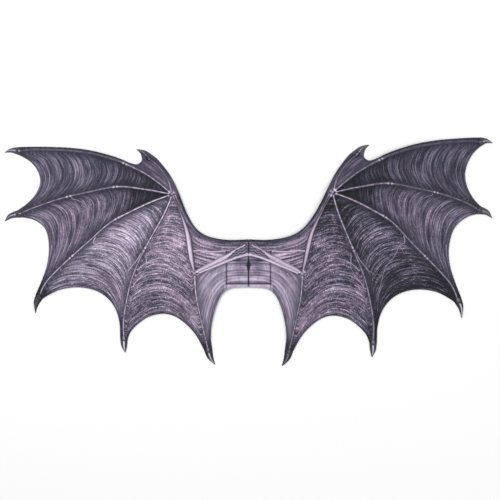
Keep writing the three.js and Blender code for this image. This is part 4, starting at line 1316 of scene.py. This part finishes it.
def make_patch():
    """The backing patch: crowned at its rim, with a groove where it is sewn on."""
    turns, rings = 32, 16
    half = np.array(PATCH_SIZE) / 2
    signs = np.array([(1, 1), (-1, 1), (-1, -1), (1, -1)])
    corners = signs * (half - PATCH_CORNER)
    step = np.linspace(0, 1, 14)[1:-1, None]
    outline = []
    for k in range(4):
        angles = k * math.pi / 2 + np.linspace(0, math.pi / 2, turns // 4)
        arc = PATCH_CORNER * np.column_stack([np.cos(angles), np.sin(angles)])
        following = corners[(k + 1) % 4] + arc[-1]
        outline += [corners[k] + arc, (corners[k] + arc[-1]) * (1 - step) + following * step]
    outline = np.vstack(outline)
    around = len(outline)
    insets = np.concatenate([[0, 0.0003, 0.0008, 0.0016],
                             np.linspace(0.0028, half[1] * 0.98, rings)])
    rows = []
    for level in (1, -1):
        for inset in insets if level > 0 else insets[::-1]:
            xy = outline * (1 - inset / half)
            inward = np.minimum(inset, 0.0008) / 0.0008
            rise = 0.5 * PATCH_THICKNESS * math.sqrt(max(0.04, 1 - (1 - inward) ** 2))
            groove = 0.00025 * math.exp(-(((inset - PATCH_SEAM) / 0.0007) ** 2))
            z = PATCH_THICKNESS / 2 + level * (rise - groove)
            rows.append(np.column_stack([xy, np.full(around, z)]))
    points = np.vstack(rows) + np.array([0, PATCH_Y, 0])
    levels = len(insets)
    order = [*range(levels - 1, -1, -1), *range(2 * levels - 1, levels - 1, -1)]
    faces = []
    for first, second in zip(order, order[1:]):
        faces += ring_faces(first * around, second * around, around)
    top, low = order[0] * around, order[-1] * around
    faces.append([top + j for j in range(around)])
    faces.append([low + j for j in reversed(range(around))])
    made = mesh_object("back_cloth", points, faces)
    piece(made, BACKING, "backing", "back_patch")
    inner = outline * (1 - PATCH_SEAM / half)
    thread = np.column_stack([inner, np.zeros(around)]) + np.array([0, PATCH_Y, 0.0004])
    thread = np.vstack([thread, thread[:1]])
    sewn = stitched("patch_stitches", [thread], STITCHES, Thread=THREAD, Thickness=0.0009)
    piece(sewn, THREAD, "backing")


def make_strap(side):
    """A loop of ribbed elastic: out from the patch, two folded corners and back."""
    wing = WING_OF[side]
    outer, inner = (STRAP_SPREAD + STRAP_WIDTH) / 2, (STRAP_SPREAD - STRAP_WIDTH) / 2
    turn, edge = STRAP_REACH - STRAP_WIDTH, PATCH_SIZE[0] / 2 + 0.0003
    base = PATCH_THICKNESS + 0.0003
    ends = [((x, outer, z), (x, inner, z)) for x, z in
            ((STRAP_END, base), (edge, base), (edge + STRAP_DROP, 0), (turn, 0))]
    ends.append(((STRAP_REACH, inner, 0), (turn, inner, 0)))
    back = [tuple((x, -y, z) for x, y, z in row) for row in ends[::-1]]
    ends = np.array(ends + back)
    rows = [ends[:1]]
    for first, second in zip(ends, ends[1:]):
        steps = max(2, int(np.linalg.norm(second - first, axis=1).max() / 0.004))
        t = np.linspace(0, 1, steps + 1)[1:, None, None]
        rows.append(first * (1 - t) + second * t)
    rows = np.vstack(rows)
    count = len(rows)
    across = np.sin(np.linspace(-math.pi / 2, math.pi / 2, STRAP_COLUMNS))
    share = (across + 1) / 2
    middle = rows[:, :1] * (1 - share[None, :, None]) + rows[:, 1:] * share[None, :, None]
    along = lengths(rows.mean(axis=1))
    ribs = 0.00009 * (1 - np.cos(share * 2 * math.pi * STRAP_RIBS))[None]
    ripple = 0.00008 * (1 + np.sin(along * 900)[:, None] * np.sin(share * 40)[None])
    full = STRAP_THICKNESS / 2 * np.minimum(1, (1 - np.abs(across)) * 30 + 0.3) ** 0.5
    upper, lower = middle.copy(), middle.copy()
    upper[..., 2] += STRAP_THICKNESS / 2 + full - np.minimum(ribs + ripple, full * 0.8)
    lower[..., 2] += STRAP_THICKNESS / 2 - full + np.minimum(ribs + ripple, full * 0.8)
    ring = np.concatenate([upper, lower[:, ::-1]], axis=1)
    sides = ring.shape[1]
    points = ring.reshape(-1, 3) * np.array([side, 1, 1]) + np.array([0, PATCH_Y, 0])
    faces, places = [], []
    for i in range(count - 1):
        for j in range(sides):
            n = (j + 1) % sides
            face = [i * sides + j, i * sides + n, (i + 1) * sides + n, (i + 1) * sides + j]
            spot = [[j * 0.0004, along[i]], [(j + 1) * 0.0004, along[i]],
                    [(j + 1) * 0.0004, along[i + 1]], [j * 0.0004, along[i + 1]]]
            faces.append(face if side > 0 else face[::-1])
            places.append(spot if side > 0 else spot[::-1])
    for start in (0, (count - 1) * sides):
        cap = [start + j for j in range(sides)]
        cap = cap if (start > 0) == (side > 0) else cap[::-1]
        faces.append(cap)
        places.append([[0.0, 0.0]] * sides)
    made = mesh_object(f"{wing}_elastic", points, faces, None, places)
    piece(made, WEBBING, "webbing", f"{wing}_strap")


def make_joints(side, tree):
    lines = bone_lines()
    first = {name: on_side(run[12:13], side)[0] for name, run in lines.items()}
    last = {name: on_side(run[-12:-11], side)[0] for name, run in lines.items()}
    spokes = [first[name] for name in ("finger_1", "finger_2", "finger_3", "finger_4", "thumb",
                                       "forearm")]
    make_joint(side, tree, "wrist_joint", WRIST, WRIST_RADIUS, spokes)
    spokes = [last["forearm"], last["upper_arm"], first["finger_5"]]
    make_joint(side, tree, "elbow_joint", ELBOW, ELBOW_RADIUS * 1.15, spokes)


FACES = {}
for SIDE in WING_OF:
    FACES[SIDE] = make_wing(SIDE)
    for MAKE in (make_veins, make_fingers, make_arms, make_joints, make_claws):
        MAKE(SIDE, FACES[SIDE])

STITCHES = stitch_nodes()
piece(stitched("box_stitches", thread_lines(FACES), STITCHES, Thread=THREAD), THREAD, "wing_fabric")
piece(stitched("seam_stitches", zigzag_lines(FACES), STITCHES, Thread=THREAD, Spacing=0.0024,
               Length=0.0022, Thickness=0.0007), THREAD, "wing_fabric")

make_patch()
for SIDE in WING_OF:
    make_strap(SIDE)


# Floor, light and camera
FLOOR_REACH = 4
FLOOR_GAP = 0.0002


def floor():
    mesh = bpy.data.meshes.new("floor")
    corners = [(x * FLOOR_REACH, y * FLOOR_REACH, -FLOOR_GAP)
               for x, y in ((-1, -1), (1, -1), (1, 1), (-1, 1))]
    mesh.from_pydata(corners, [], [(0, 1, 2, 3)])
    made = in_scene("floor", mesh)
    paint, nodes = material("floor")
    shader = nodes.add("ShaderNodeBsdfPrincipled", {"Base Color": (0.78, 0.78, 0.78, 1),
                                                   "Roughness": 0.9, "Specular IOR Level": 0.1})
    nodes.add("ShaderNodeOutputMaterial", {"Surface": shader.outputs[0]})
    mesh.materials.append(paint)


def area_light(name, place_at, size, power):
    lamp = bpy.data.lights.new(name, "AREA")
    lamp.shape = "SQUARE"
    lamp.size = size
    lamp.energy = power
    made = in_scene(name, lamp)
    made.location = place_at
    made.rotation_mode = "QUATERNION"
    made.rotation_quaternion = (-Vector(place_at)).to_track_quat("-Z", "Y")


floor()
area_light("key", (-1.2, 1.4, 2.6), 1.6, 68)
area_light("fill", (1.6, -0.6, 2.4), 2.0, 26)
world = bpy.data.worlds.new("studio")
world.use_nodes = True
sky = world.node_tree.nodes["Background"]
sky.inputs["Color"].default_value = (1, 1, 1, 1)
sky.inputs["Strength"].default_value = 0.62
SCENE.world = world
SCENE.view_settings.view_transform = "Standard"

VIEW_WIDTH = 1.1475
VIEW_MIDDLE = (0.0034, 0.0042)
LENS = 100  # mm
SENSOR_WIDTH = 36  # mm
camera_data = bpy.data.cameras.new("camera")
camera_data.lens = LENS
camera_data.sensor_width = SENSOR_WIDTH
camera = in_scene("camera", camera_data)
camera.location = (*VIEW_MIDDLE, VIEW_WIDTH * LENS / SENSOR_WIDTH)
SCENE.camera = camera
